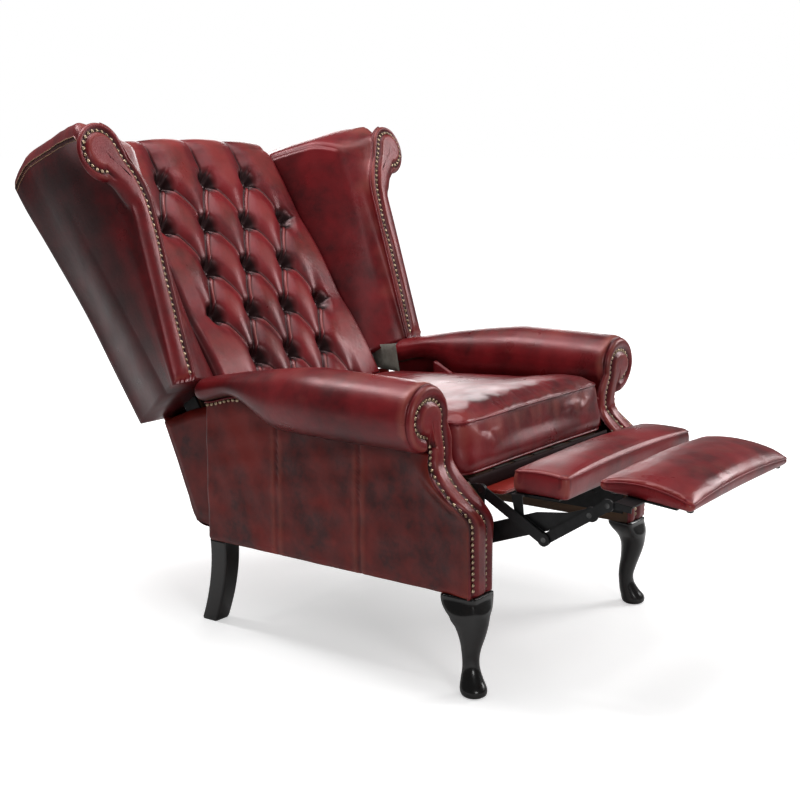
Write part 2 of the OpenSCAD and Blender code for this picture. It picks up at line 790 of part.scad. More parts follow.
// Outline at a plane behind the front: inner edge at x_in, rounded top corner, outer edge along rear_x
function wing_plain_outline(x_in, lean, top_in, top_out, r) = let (
  n_in = wing_side_steps + 1 + 4, n_out = wing_side_steps + 1 + 2,
  corner = [rear_x(top_out) + lean - r, top_out - r]
) concat(
  [for (i = [0 : n_in - 1]) [x_in, mix(40, top_in - 20, i / (n_in - 1))]],
  [for (i = [0 : wing_arc_steps]) let (t = i / wing_arc_steps)
    t < 0.5
      ? [mix(x_in + 4, corner[0], t * 2), mix(top_in, top_out, smooth(t * 2))]
      : let (a = 90 - 100 * (t - 0.5) * 2) corner + r * [cos(a), sin(a)]],
  [for (i = [0 : n_out - 1]) let (u = mix(top_out - 40, 40, i / (n_out - 1))) [rear_x(u) + lean, u]]
);

// A ring of the wing: s is -1 at the rear, 0 at the button plane and 1 at the front plane.
// The padding swells inwards behind the front edge and the roof swells behind the button plane.
function wing_ring(s) = let (
  front = wing_front_outline(),
  mid = wing_plain_outline(back_half_w + 2, 34, back_h - back_arch + 2, 636, 22),
  rear = wing_plain_outline(back_half_w + 2, 0, back_h - 26, 650, 12),
  swell = s > 0 ? 30 * pow(sin(180 * pow(s, 1.7)), 0.8) : 0,
  roof = s < 0 ? 20 * sin(180 * -s) : 0
) [for (i = [0 : len(front) - 1])
    let (
      p = s < 0 ? mix(mid[i], rear[i], -s) : mix(mid[i], front[i], pow(s, 1.15)),
      inner = i <= wing_side_steps + 9 ? smooth(1 - (i - wing_side_steps) / 9) : 0,
      upper = smooth((p[1] - 540) / 80),
      depth = s < 0 ? back_depth * -s : -s * (wing_reach(p[1]) - wing_facing_t)
    ) [p[0] - swell * inner, depth, p[1] + roof * upper]];

module wing(side) {
  color("#6b1f22") on_back() on_side(side) difference() {
    loft([for (s = [1, 0.92, 0.8, 0.6, 0.4, 0.2, 0, -0.36, -0.62, -0.85, -1]) wing_ring(s)], cap = "mixed");
    translate([back_half_w - 10, pad_rear - 2, 0])
      cube([back_bracket_x + seat_gap - back_half_w + 10, 200, back_h + 50]);
    translate([back_half_w - 10, pad_rear - 2, 0])
      cube([back_bracket_x + back_bracket_t + air - back_half_w + 10, 60, 155]);
    wing_board();
  }
}

module wing_right() { wing(-1); }
module wing_left() { wing(1); }

// Plywood frame inside the wing
module wing_board() {
  translate([back_bracket_x + 8, 0, 0]) rotate([90, 0, 90]) linear_extrude(wing_board_t)
    polygon([[-12, 60], [back_depth - 15, 60], [back_depth - 15, 560], [-5, 560], [-20, 450], [-20, 200]]);
}

module wing_frame_right() { color("tan") on_back() on_side(-1) wing_board(); }
module wing_frame_left() { color("tan") on_back() on_side(1) wing_board(); }

// Padded facing on the front plane of the wing
module wing_facing(side) {
  outline = wing_front_outline();
  function ring(t) = [for (p = outline) [p[0], -(wing_reach(p[1]) - wing_facing_t * (1 - t)), p[1]]];
  color("#6b1f22") on_back() on_side(side) loft([ring(1), ring(0)], cap = "strip");
}

module wing_facing_right() { wing_facing(-1); }
module wing_facing_left() { wing_facing(1); }

// Steel plates that carry the back on its hinge, drawn as [y, z] at rest
module back_brackets() {
  function at(depth, u) = [
    back_foot[1] + depth * cos(back_tilt) + u * sin(back_tilt),
    back_foot[2] - depth * sin(back_tilt) + u * cos(back_tilt)
  ];
  color("#1b1b1d") both_sides() across(back_bracket_x, back_bracket_t) difference() {
    union() {
      translate(back_hinge) circle(r = 17, $fn = 40);
      polygon([
        back_hinge + [-5, 16], back_hinge + [6, -16], at(post_front + post_t, post_foot_u),
        at(post_front + post_t, 140), at(post_front, 140), at(post_front, post_foot_u)
      ]);
    }
    translate(back_hinge) circle(r = hinge_pin_r + pin_gap, $fn = 32);
  }
}

// Leather flap that closes the back between the outside back and the rear rail
module back_flap() {
  t = 3;
  line = [[base_rear + t, leg_h + 10], [424, 214], [458, 292], [477, 341], [510, 420]];
  n = len(line);
  color("#4e1517") {
    across(-300, 600) polygon(concat(line, [for (i = [n - 1 : -1 : 0]) line[i] + [-t, 0.4 * t]]));
    both_sides() across(300, t)
      polygon(concat(line, [[425, 455], [base_rear, 480]]));
  }
}

// Footrest

// A flat link with round ends
module link_shape(from, to, r, width) {
  reach = norm(to - from);
  turn = atan2(to[1] - from[1], to[0] - from[0]);
  translate(from) circle(r = r, $fn = 40);
  translate(to) circle(r = r, $fn = 40);
  translate(from) rotate(turn) translate([0, -width / 2]) square([reach, width]);
}

module rear_links() {
  color("#1b1b1d") both_sides() across(rear_link_x, steel_t) difference() {
    link_shape(rear_link_pivot, knee_pivot, link_end_r, 2 * link_end_r - 4);
    translate(rear_link_pivot) circle(r = pin_r + pin_gap, $fn = 32);
    translate(knee_pivot) circle(r = pin_r, $fn = 32);
  }
}

module rear_link_pins() {
  color("silver") both_sides() pin(knee_pivot, pin_r, bracket_x - 0.4, rear_link_x + steel_t);
}

module front_links() {
  color("#1b1b1d") both_sides() across(front_link_x, steel_t) difference() {
    link_shape(knee_pivot, outer_pivot, link_end_r, 2 * link_end_r - 4);
    translate(knee_pivot) circle(r = pin_r + pin_gap, $fn = 32);
    translate(drive_pivot) circle(r = pin_r, $fn = 32);
    translate(outer_pivot) circle(r = pin_r, $fn = 32);
  }
}

module front_link_pins() {
  color("silver") both_sides() {
    pin(drive_pivot, pin_r, drive_link_x - 0.4, front_link_x + steel_t);
    pin(drive_pivot, pin_r + 4, drive_link_x + steel_t + 0.15, front_link_x);
    pin(outer_pivot, pin_r, bracket_x - 0.4, front_link_x + steel_t);
  }
}

module drive_links() {
  color("#1b1b1d") both_sides() across(drive_link_x, steel_t) difference() {
    union() {
      link_shape(drive_pivot, drive_tail, link_end_r + 2, 2 * link_end_r);
      translate(drive_tail) rotate(drive_slope)
        polygon([[0, 0], [0, 26], [-drive_len + 110, 26], [-drive_len + 45, link_end_r], [-drive_len + 40, 0]]);
    }
    translate(drive_pivot) circle(r = pin_r + pin_gap, $fn = 32);
    translate(drive_tail) circle(r = crank_pin_r + tail_play, $fn = 32);
  }
}

// Shaft across the chair with a crank at each side
module drive_shaft() {
  color("#1b1b1d") {
    pin(shaft_pivot, shaft_r, -throat_half_w, throat_half_w);
    both_sides() {
      across(bracket_x, steel_t) link_shape(shaft_pivot, drive_tail, link_end_r, 2 * link_end_r - 4);
      pin(drive_tail, crank_pin_r, drive_link_x - 0.4, bracket_x + 1);
    }
  }
}

// Board under a footrest pad, and the pocket in the pad that it sits in
board_inset = 12;
module pad_board(half, depth, low, grow = 0) {
  inset = board_inset - grow;
  translate([-half + inset, -depth / 2 + inset, low]) cube([2 * half - 2 * inset, depth - 2 * inset, board_t]);
}

module board_pocket(half, depth, low) {
  translate([0, 0, -1]) pad_board(half, depth, low, seat_gap);
  translate([0, 0, seat_gap]) pad_board(half, depth, low, seat_gap);
}

module inner_pad_board() {
  color("tan") translate([0, inner_centre[0], inner_centre[1]])
    pad_board(inner_half_w, inner_depth, inner_underside);
}

module inner_pad() {
  color("#6b1f22") translate([0, inner_centre[0], inner_centre[1]]) difference() {
    pad(inner_half_w, inner_depth / 2, inner_underside, inner_underside + inner_t, 8, 10, 3, 4, 5);
    board_pocket(inner_half_w, inner_depth, inner_underside);
  }
}

// Angle plates that carry the inner pad from the knee pivot
module inner_pad_brackets() {
  under = inner_centre[1] + inner_underside;
  flange_t = 3;
  neck_y = inner_centre[0] + 31;
  bracket_bend = knee_pivot + 60 * (rear_link_pivot - knee_pivot) / norm(rear_link_pivot - knee_pivot);
  color("#1b1b1d") both_sides() {
    across(bracket_x, steel_t) difference() {
      union() {
        link_shape(knee_pivot, bracket_bend, link_end_r - 1, 2 * link_end_r - 4);
        polygon([
          bracket_bend + [-7, -7], bracket_bend + [link_end_r - 2, -3],
          [neck_y + 23, under], [neck_y, under]
        ]);
      }
      translate(knee_pivot) circle(r = pin_r + pin_gap, $fn = 32);
    }
    translate([200, inner_centre[0] - 40, under - flange_t]) cube([61, 94, flange_t]);
    translate([260, neck_y, under - flange_t]) cube([bracket_x + 1 - 260, 23, flange_t]);
  }
}

module outer_pad_board() {
  color("tan") on_outer_pad() pad_board(outer_half_w, outer_depth, outer_underside);
}

module outer_pad() {
  color("#6b1f22") on_outer_pad() difference() {
    pad(outer_half_w, outer_depth / 2, outer_underside, outer_underside + outer_t, 6, 10, 4, 13, 8);
    board_pocket(outer_half_w, outer_depth, outer_underside);
  }
}

// Angle plates that carry the outer pad from the end of the front links
module outer_pad_brackets() {
  flange_t = 3;
  module flange_line() {
    translate([outer_centre[0], outer_centre[1]]) rotate(outer_tilt)
      translate([1, outer_underside - 12]) square([43, 11]);
  }
  color("#1b1b1d") both_sides() {
    across(bracket_x, steel_t) difference() {
      union() {
        translate(outer_pivot) circle(r = link_end_r - 1, $fn = 40);
        flange_line();
      }
      translate(outer_pivot) circle(r = pin_r + pin_gap, $fn = 32);
    }
    on_outer_pad() translate([0, 0, outer_underside - flange_t]) linear_extrude(flange_t)
      polygon([[180, -60], [220, -60], [220, 0], [bracket_x + 1, 0], [bracket_x + 1, 36], [180, 36]]);
  }
}

side_rails();
rear_rail();
front_posts();
arm_board_right();
arm_board_left();
outside_arm_right();
outside_arm_left();
inside_arm_right();
inside_arm_left();
arm_roll_right();
arm_roll_left();
arm_facing_right();
arm_facing_left();
front_leg_right();
front_leg_left();
rear_leg_right();
rear_leg_left();
leg_bolts();
mechanism_plate_right();
mechanism_plate_left();
base_pins();
back_hinge_blocks();
mechanism_cross_bar();
seat_slide_rails();
seat_side_rails();
seat_front_rail();
seat_rear_rail();
seat_webbing();
seat_cushion();
seat_lip();
back_posts();
back_top_rail();
back_bottom_rail();
back_webbing();
inside_back();
back_buttons();
back_crest();
outside_back();
wing_frame_right();
wing_frame_left();
wing_right();
wing_left();
wing_facing_right();
wing_facing_left();
back_brackets();
back_flap();
rear_links();
rear_link_pins();
front_links();
front_link_pins();
drive_links();
drive_shaft();
inner_pad_board();
inner_pad();
inner_pad_brackets();
outer_pad_board();
outer_pad();
outer_pad_brackets();
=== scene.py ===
import json
import math

import bmesh
import bpy
import numpy as np
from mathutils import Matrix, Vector
from mathutils.bvhtree import BVHTree
from mathutils.kdtree import KDTree


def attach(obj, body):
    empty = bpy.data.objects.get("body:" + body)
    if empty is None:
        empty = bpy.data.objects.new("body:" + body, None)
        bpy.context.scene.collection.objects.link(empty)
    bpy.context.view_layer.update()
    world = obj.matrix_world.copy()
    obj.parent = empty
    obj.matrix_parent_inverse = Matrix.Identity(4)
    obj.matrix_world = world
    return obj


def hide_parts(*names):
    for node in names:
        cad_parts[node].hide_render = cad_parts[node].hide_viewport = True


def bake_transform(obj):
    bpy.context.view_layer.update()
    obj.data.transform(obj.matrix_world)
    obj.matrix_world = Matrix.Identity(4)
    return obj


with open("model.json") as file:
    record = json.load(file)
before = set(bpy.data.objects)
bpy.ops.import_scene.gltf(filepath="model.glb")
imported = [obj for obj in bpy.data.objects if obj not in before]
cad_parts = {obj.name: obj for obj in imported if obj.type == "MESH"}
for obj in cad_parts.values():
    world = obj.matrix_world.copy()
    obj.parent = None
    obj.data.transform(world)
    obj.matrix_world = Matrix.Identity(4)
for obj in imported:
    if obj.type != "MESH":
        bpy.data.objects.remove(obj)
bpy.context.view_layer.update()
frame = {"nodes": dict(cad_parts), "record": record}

# High-back wing recliner in antiqued red leather, reclined with its footrest out.
# Shapes are worked out in millimetres and written to meshes in metres.
# The chair faces -y. Its right side, at -x, is the near one in the photograph.

# Sizes shared with the solids

BASE_HALF = 352.0
FRONT = 332.0
REAR = 338.0
LEG_H = 194.0
SEAM_Z = 459.0
ROLL_TOP = 593.0
SCROLL_X = 374.0
SCROLL_Z = 527.5
SCROLL_R = 63.0
NECK = 84.0
BACK_HALF = 268.0
BACK_H = 652.0
BACK_ARCH = 36.0
BACK_DEPTH = 155.0
BUTTON_GAP = 140.0
BUTTON_TAPER = 0.055
BUTTON_R = 9.0
ROW_GAP = 114.0
TOP_ROW = 526.0
WING_SCROLL = (478.0, 487.0)
WING_SCROLL_R = 58.0
WING_IN = 372.0
WING_OUT = 434.0
WING_FOOT = 44.0
WING_RAKE = 0.31
WING_DEPTH = 195.0
NAIL_PITCH = 11.9
NAIL_R = 4.3
CUSHION_X = 284.0
CUSHION_Y = 291.0
CUSHION_MIDDLE = 295.0
CUSHION_CORNER = 42.0
CUSHION_PULL = 5.0
CUSHION_TOP = 106.5
CUSHION_CROWN = 20
FLAP_HALF = 302.0


def turn(degrees):
    return math.cos(math.radians(degrees)), math.sin(math.radians(degrees))


BACK_COS, BACK_SIN = turn(34)
BACK_Y, BACK_Z = 363.5, 490.6
SEAT_LEAN = 3.2
SEAT_Y, SEAT_Z = -268, 400

# Small helpers


def smooth(t):
    c = np.clip(t, 0.0, 1.0)
    return c * c * (3 - 2 * c)


def mix(a, b, t):
    return a + (b - a) * t


def bell(t):
    return np.exp(-t * t)


def stack(x, y, z):
    x, y, z = np.broadcast_arrays(x, y, z)
    return np.stack([x, y, z], -1).astype(float)


def on_back(x, w, u):
    """A point of the back: w in front of the button plane and u up the slope."""
    return stack(x, BACK_Y - w * BACK_COS + u * BACK_SIN, BACK_Z + w * BACK_SIN + u * BACK_COS)


def placed(y0, z0, degrees):
    """The function that takes a part's own x, y and z to the shared frame."""
    c, s = turn(degrees)
    return lambda x, y, z: stack(x, y0 + y * c - z * s, z0 + y * s + z * c)


on_seat = placed(SEAT_Y, SEAT_Z, -SEAT_LEAN)
on_inner_pad = placed(-414, 409, 0)
on_outer_pad = placed(-606, 407, 5)


def on_seat_back(at):
    """The seat's own y and z of points given in the shared frame."""
    c, s = turn(SEAT_LEAN)
    y, z = at[:, 1] - SEAT_Y, at[:, 2] - SEAT_Z
    return y * c - z * s, y * s + z * c


def lengths(path):
    """Distance along a polyline at each of its points."""
    return np.concatenate([[0], np.cumsum(np.linalg.norm(np.diff(path, axis=0), axis=1))])


def at_length(path, along, where):
    """Points of a polyline at the given distances along it."""
    return np.stack([np.interp(where, along, path[:, k]) for k in range(path.shape[1])], -1)


def resample(points, count):
    p = np.asarray(points, float)
    along = lengths(p)
    return at_length(p, along, np.linspace(0, along[-1], count))


def curve_through(points, step):
    """Points every step along a smooth curve through the given ones."""
    p = np.asarray(points, float)
    ends = np.vstack([2 * p[0] - p[1], p, 2 * p[-1] - p[-2]])
    t = np.linspace(0, 1, 24, endpoint=False)[:, None]
    fine = []
    for k in range(len(p) - 1):
        a, b, c, d = ends[k:k + 4]
        fine.append(0.5 * (2 * b + (c - a) * t + (2 * a - 5 * b + 4 * c - d) * t ** 2
                           + (3 * b - a - 3 * c + d) * t ** 3))
    fine = np.vstack(fine + [p[-1:]])
    return resample(fine, max(2, int(round(lengths(fine)[-1] / step)) + 1))


def distance_to(points, path):
    """Distance of each flat point to a polyline."""
    p = np.asarray(points, float).reshape(-1, 1, 2)
    a, b = path[None, :-1], path[None, 1:]
    d = b - a
    t = np.clip(((p - a) * d).sum(-1) / np.maximum((d * d).sum(-1), 1e-9), 0, 1)
    return np.linalg.norm(p - a - t[..., None] * d, axis=-1).min(1)


def inside(points, loop):
    p = np.asarray(points, float).reshape(-1, 1, 2)
    a, b = loop[None], np.roll(loop, -1, 0)[None]
    over = (a[..., 1] > p[..., 1]) != (b[..., 1] > p[..., 1])
    cross = a[..., 0] + (p[..., 1] - a[..., 1]) * (b[..., 0] - a[..., 0]) / np.where(
        b[..., 1] == a[..., 1], 1e-9, b[..., 1] - a[..., 1])
    return (over & (p[..., 0] < cross)).sum(1) % 2 == 1


def ripple(x, y, seed=0.0):
    """A smooth uneven field between about -1 and 1."""
    return (np.sin(0.019 * x + 0.031 * y + seed) + np.sin(0.043 * x - 0.027 * y + 2.1 * seed)
            + np.sin(0.011 * x + 0.057 * y + 3.7 * seed)) / 3


# Materials


def stand(name, data):
    """A new object in the scene."""
    thing = bpy.data.objects.new(name, data)
    bpy.context.scene.collection.objects.link(thing)
    return thing


def new_material(name, rough=0.5, metallic=0.0, specular=0.5, coat=0.0, coat_rough=0.2):
    m = bpy.data.materials.new(name)
    m.use_nodes = True
    p = m.node_tree.nodes["Principled BSDF"]
    p.inputs["Roughness"].default_value = rough
    p.inputs["Metallic"].default_value = metallic
    p.inputs["Specular IOR Level"].default_value = specular
    p.inputs["Coat Weight"].default_value = coat
    p.inputs["Coat Roughness"].default_value = coat_rough
    return m


def node(m, kind, **values):
    n = m.node_tree.nodes.new(kind)
    for key, value in values.items():
        if key in n.inputs:
            n.inputs[key].default_value = value
        else:
            setattr(n, key, value)
    return n


def link(m, a, b):
    m.node_tree.links.new(a, b)


def coordinates(m):
    return node(m, "ShaderNodeTexCoord").outputs["Object"]


def noise(m, scale, detail=3.0, roughness=0.55, at=None):
    n = node(m, "ShaderNodeTexNoise", Scale=scale, Detail=detail, Roughness=roughness)
    link(m, at or coordinates(m), n.inputs["Vector"])
    return n.outputs["Fac"]


def spread(m, value, low, high, to_low=0.0, to_high=1.0):
    """Maps low..high to to_low..to_high."""
    n = node(m, "ShaderNodeMapRange")
    for k, number in enumerate((low, high, to_low, to_high)):
        n.inputs[k + 1].default_value = number
    link(m, value, n.inputs[0])
    return n.outputs["Result"]


def blend_colour(m, factor, a, b):
    n = node(m, "ShaderNodeMix", data_type="RGBA")
    for socket, value in ((n.inputs[6], a), (n.inputs[7], b)):
        if isinstance(value, tuple):
            socket.default_value = (*value, 1)
        else:
            link(m, value, socket)
    link(m, factor, n.inputs[0])
    return n.outputs[2]


def maths(m, operation, a, b):
    n = node(m, "ShaderNodeMath", operation=operation)
    for k, value in enumerate((a, b)):
        if isinstance(value, float):
            n.inputs[k].default_value = value
        else:
            link(m, value, n.inputs[k])
    return n.outputs[0]


def surface(m):
    return m.node_tree.nodes["Principled BSDF"].inputs


def paint(m, factor, a, b):
    link(m, blend_colour(m, factor, a, b), surface(m)["Base Color"])


def relief(m, height, strength, distance):
    bump = node(m, "ShaderNodeBump", Strength=strength, Distance=distance)
    link(m, height, bump.inputs["Height"])
    link(m, bump.outputs["Normal"], surface(m)["Normal"])


def leather(name, dark, mid, light, rough=0.32, shine=0.55):
    """Antiqued leather with cloudy colour, and painted light from the shade attribute: painted shade in
    creases and hollows, painted highlight on high places.
    """
    m = new_material(name, rough, specular=shine)
    surface(m)["Specular Tint"].default_value = (1.0, 0.60, 0.62, 1.0)
    at = coordinates(m)
    cloud = spread(m, noise(m, 7.5, 4.0, 0.6, at), 0.40, 0.62)
    fleck = spread(m, noise(m, 38.0, 4.0, 0.65, at), 0.38, 0.68)
    base = blend_colour(m, cloud, dark, mid)
    base = blend_colour(m, maths(m, "MULTIPLY", fleck, 0.45), base, mid)
    shade = node(m, "ShaderNodeAttribute", attribute_name="shade", attribute_type="GEOMETRY").outputs["Fac"]
    # The shade attribute's painted highlight goes towards the light colour, and its painted shade goes
    # towards near-black
    painted_highlight = spread(m, shade, 0.05, 1.0)
    painted_shade = spread(m, shade, -0.02, -1.0)
    paint(m, painted_shade, blend_colour(m, painted_highlight, base, light), (0.006, 0.0012, 0.0014))
    uneven = spread(m, noise(m, 14.0, 3.0, 0.5, at), 0.3, 0.7, rough - 0.06, rough + 0.09)
    link(m, uneven, surface(m)["Roughness"])
    grain = node(m, "ShaderNodeTexVoronoi", Scale=620.0)
    link(m, at, grain.inputs["Vector"])
    fine = maths(m, "MULTIPLY", grain.outputs["Distance"], 0.35)
    soft = maths(m, "MULTIPLY", noise(m, 95.0, 3.0, 0.5, at), 0.9)
    relief(m, maths(m, "ADD", fine, soft), 0.22, 0.0012)
    return m


def plain_pattern(name, a, b, scale, low=0.4, high=0.6, **kinds):
    m = new_material(name, **kinds)
    paint(m, spread(m, noise(m, scale), low, high), a, b)
    return m


def lacquer(name):
    m = new_material(name, 0.24, specular=0.42, coat=0.18, coat_rough=0.1)
    cloud = spread(m, noise(m, 18.0, 4.0, 0.6), 0.4, 0.7)
    paint(m, cloud, (0.0022, 0.0018, 0.0018), (0.008, 0.005, 0.0045))
    relief(m, noise(m, 60.0, 3.0, 0.5), 0.08, 0.001)
    return m


def textured(name, kind, a, b, rough, specular, squeeze=1.0, **values):
    """Two colours mixed by a texture, which can be drawn out along y."""
    m = new_material(name, rough, specular=specular)
    mapping = node(m, "ShaderNodeMapping")
    mapping.inputs["Scale"].default_value = (1.0, squeeze, 1.0)
    link(m, coordinates(m), mapping.inputs["Vector"])
    texture = node(m, kind, **values)
    link(m, mapping.outputs["Vector"], texture.inputs["Vector"])
    paint(m, texture.outputs["Fac"], a, b)
    return m


# The third colour of each leather is the colour of its painted highlights
RED = leather("red_leather", (0.062, 0.0042, 0.0058), (0.190, 0.0090, 0.0125), (0.50, 0.165, 0.12))
PANEL = leather("panel_leather", (0.030, 0.0036, 0.0030), (0.185, 0.0120, 0.0070), (0.36, 0.085, 0.05), 0.42)
LIP = leather("lip_leather", (0.24, 0.012, 0.010), (0.36, 0.022, 0.014), (0.5, 0.15, 0.09), 0.3)
DARK = leather("dark_leather", (0.010, 0.0022, 0.0026), (0.028, 0.004, 0.005), (0.08, 0.02, 0.02), 0.65, 0.15)
BRASS = plain_pattern("aged_brass", (0.16, 0.105, 0.06), (0.58, 0.44, 0.30), 90.0, 0.35, 0.65,
                      rough=0.28, metallic=1.0)
THREAD = plain_pattern("tan_thread", (0.22, 0.12, 0.07), (0.42, 0.27, 0.17), 300.0, rough=0.8, specular=0.2)
BLACK_STEEL = plain_pattern("black_steel", (0.0035, 0.0035, 0.004), (0.009, 0.009, 0.010), 40.0,
                            rough=0.46, specular=0.3)
BRIGHT_STEEL = plain_pattern("bright_steel", (0.05, 0.05, 0.05), (0.12, 0.12, 0.12), 60.0,
                             rough=0.38, metallic=1.0)
LINING = plain_pattern("grey_board", (0.15, 0.15, 0.125), (0.20, 0.20, 0.17), 60.0, rough=0.8)
WOOD = textured("frame_wood", "ShaderNodeTexWave", (0.060, 0.032, 0.018), (0.115, 0.066, 0.036), 0.6, 0.3,
                0.12, Scale=30.0, Distortion=5.0, Detail=3.0)
BLACK_WOOD = lacquer("black_lacquer")
WEBBING = textured("webbing", "ShaderNodeTexChecker", (0.02, 0.018, 0.016), (0.07, 0.06, 0.05), 0.85, 0.2,
                   Scale=400.0)
RUBBER = plain_pattern("black_plastic", (0.008, 0.008, 0.008), (0.02, 0.02, 0.02), 50.0, rough=0.5)

SLOT_OF = {
    RED: "oxblood_leather", PANEL: "oxblood_leather", LIP: "oxblood_leather", DARK: "dark_leather",
    BLACK_STEEL: "black_steel", BRIGHT_STEEL: "bright_steel", WOOD: "frame_wood",
    BLACK_WOOD: "black_lacquered_wood", WEBBING: "webbing",
}

# Meshes


def evened(shade, count):
    """Tones as one number for each of the points."""
    return np.zeros(count) + np.ravel(shade)


def make(name, points, faces, material, body, replaces=(), shade=None):
    """A new piece from points in millimetres, on a body, or on none with None.

    shade is the tone of every point, or a list with each point's own. Below 0 is painted shade and above 0
    painted highlight.
    """
    mesh = bpy.data.meshes.new(name)
    points = np.asarray(points, float) * 0.001
    mesh.from_pydata(points.tolist(), [], [tuple(int(i) for i in f) for f in faces])
    mesh.update()
    if shade is not None:
        a = mesh.attributes.new("shade", "FLOAT", "POINT")
        a.data.foreach_set("value", evened(shade, len(points)).astype(np.float32))
    b = bmesh.new()
    b.from_mesh(mesh)
    bmesh.ops.recalc_face_normals(b, faces=b.faces)
    b.to_mesh(mesh)
    b.free()
    mesh.shade_smooth()
    mesh.materials.append(material)
    piece = stand(name, mesh)
    if body:
        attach(piece, body)
    if replaces:
        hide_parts(*replaces)
    return piece


def grid_faces(rows, columns, wrap=False, start=0):
    """Quads of a grid of points, row by row. With wrap the last column joins the first."""
    faces = []
    for r in range(rows - 1):
        for c in range(columns if wrap else columns - 1):
            a, b = start + r * columns + c, start + r * columns + (c + 1) % columns
            faces.append((a, b, b + columns, a + columns))
    return faces


def loft(name, rings, material, body, replaces=(), shade=None, caps="fan"):
    """A closed solid through rings of points. A cap is a fan, or quads across the ring."""
    rings = np.asarray(rings, float)
    m, n = rings.shape[:2]
    points = rings.reshape(-1, 3)
    faces = grid_faces(m, n, wrap=True)
    last = (m - 1) * n
    if caps == "fan":
        points = np.vstack([points, rings[0].mean(0), rings[-1].mean(0)])
        for i in range(n):
            faces.append((m * n, (i + 1) % n, i))
            faces.append((m * n + 1, last + i, last + (i + 1) % n))
        if shade is not None:
            shade = np.concatenate([evened(shade, m * n), [0, 0]])
    else:
        for base in (0, last):
            faces += [(base + i, base + i + 1, base + n - 2 - i, base + n - 1 - i) for i in range(n // 2 - 1)]
    return make(name, points, faces, material, body, replaces, shade)


def sheet_mesh(front, back):
    """Points and faces of a closed sheet between two grids of points of one size."""
    m, n = front.shape[:2]
    half = m * n
    points = np.vstack([front.reshape(-1, 3), back.reshape(-1, 3)])
    faces = grid_faces(m, n) + [f[::-1] for f in grid_faces(m, n, start=half)]
    rim = list(range(n)) + [r * n + n - 1 for r in range(1, m)]
    rim += [(m - 1) * n + c for c in range(n - 2, -1, -1)] + [r * n for r in range(m - 2, 0, -1)]
    faces += [(a, b, b + half, a + half) for a, b in zip(rim, rim[1:] + rim[:1])]
    return points, faces


def slab(name, rows, material, body, replaces, shade):
    """A solid from a grid whose last row meets its first, with both ends closed."""
    m, n = rows.shape[:2]
    faces = grid_faces(m, n)
    faces += [((m - 1) * n + c, (m - 1) * n + c + 1, c + 1, c) for c in range(n - 1)]
    faces += [tuple(r * n for r in range(m)), tuple(r * n + n - 1 for r in range(m))]
    return make(name, rows.reshape(-1, 3), faces, material, body, replaces, shade)


def plate(outline, sections):
    """Rings of a flat plate. Each section is its place across and its share of the outline."""
    middle = outline.mean(0)
    rings = []
    for x, share in sections:
        p = middle + (outline - middle) * share
        rings.append(stack(x, p[:, 0], p[:, 1]))
    return rings


def tube_mesh(path, radius, sides=8, closed=False):
    """Points and faces of a round tube along a path in millimetres."""
    path = np.asarray(path, float)
    if closed:
        ahead = np.roll(path, -1, 0) - np.roll(path, 1, 0)
    else:
        ahead = np.gradient(path, axis=0)
    ahead /= np.maximum(np.linalg.norm(ahead, axis=1), 1e-9)[:, None]
    side = np.cross(ahead[0], (0.0, 0.0, 1.0))
    if np.linalg.norm(side) < 0.2:
        side = np.cross(ahead[0], (1.0, 0.0, 0.0))
    points = []
    for spot, forward in zip(path, ahead):
        side = side - forward * (side @ forward)
        side /= np.linalg.norm(side)
        up = np.cross(forward, side)
        for i in range(sides):
            a = 2 * math.pi * i / sides
            points.append(spot + radius * (math.cos(a) * side + math.sin(a) * up))
    faces = grid_faces(len(path), sides, wrap=True)
    last = (len(path) - 1) * sides
    if closed:
        faces += [(last + i, last + (i + 1) % sides, (i + 1) % sides, i) for i in range(sides)]
    else:
        faces += [tuple(range(sides))[::-1], tuple(last + i for i in range(sides))]
    return points, faces


def join(parts):
    points, faces = [], []
    for p, f in parts:
        start = len(points)
        points.extend(list(p))
        faces.extend(tuple(start + i for i in g) for g in f)
    return np.array(points), faces


def welt(name, paths, radius, material, body, closed=False):
    return make(name, *join([tube_mesh(p, radius, 8, closed) for p in paths]), material, body)


def turned(place, profile, count, tip=None):
    """Points and faces of a turned head, closed flat or by a point at the height of its tip."""
    angles = 2 * math.pi * np.arange(count) / count
    points = [place(r * math.cos(a), r * math.sin(a), h) for r, h in profile for a in angles]
    faces = grid_faces(len(profile), count, wrap=True)
    last = (len(profile) - 1) * count
    if tip is None:
        faces.append(tuple(last + i for i in range(count)))
    else:
        points.append(place(0, 0, tip))
        faces += [(last + i, last + (i + 1) % count, last + count) for i in range(count)]
    faces.append(tuple(range(count))[::-1])
    return points, faces


def nails(name, spots, normals, body):
    """Domed nail heads at the given places, pressed 0.4 mm into the leather."""
    profile = [(1.0, -0.4), (1.0, 0.5), (0.86, 1.5), (0.6, 2.3), (0.3, 2.75)]
    parts = []
    for spot, normal in zip(spots, normals):
        n = np.array(normal, float) / np.linalg.norm(normal)
        s = np.cross(n, (0.31, 0.17, 0.93))
        s /= np.linalg.norm(s)
        t = np.cross(n, s)
        parts.append(turned(lambda a, b, h: spot + NAIL_R * (a * s + b * t) + h * n, profile, 10, 2.9))
    return make(name, *join(parts), BRASS, body)


def stitches(name, path, normal, pitch, length, body, radius, lift):
    """Short threads along a path, lying on the leather."""
    along = lengths(path)
    parts = []
    for s in np.arange(pitch / 2, along[-1] - length / 2, pitch):
        p = at_length(path, along, s + length * np.array([-0.5, -0.25, 0, 0.25, 0.5]))
        rise = np.array([-0.3, 0.25, 0.4, 0.25, -0.3]) + lift
        parts.append(tube_mesh(p + rise[:, None] * normal, radius, 5))
    return make(name, *join(parts), THREAD, body)


def both(build):
    """Builds a piece at the sitter's right and its mirror image at the left."""
    for side, word in ((-1, "right"), (1, "left")):
        build(side, word)


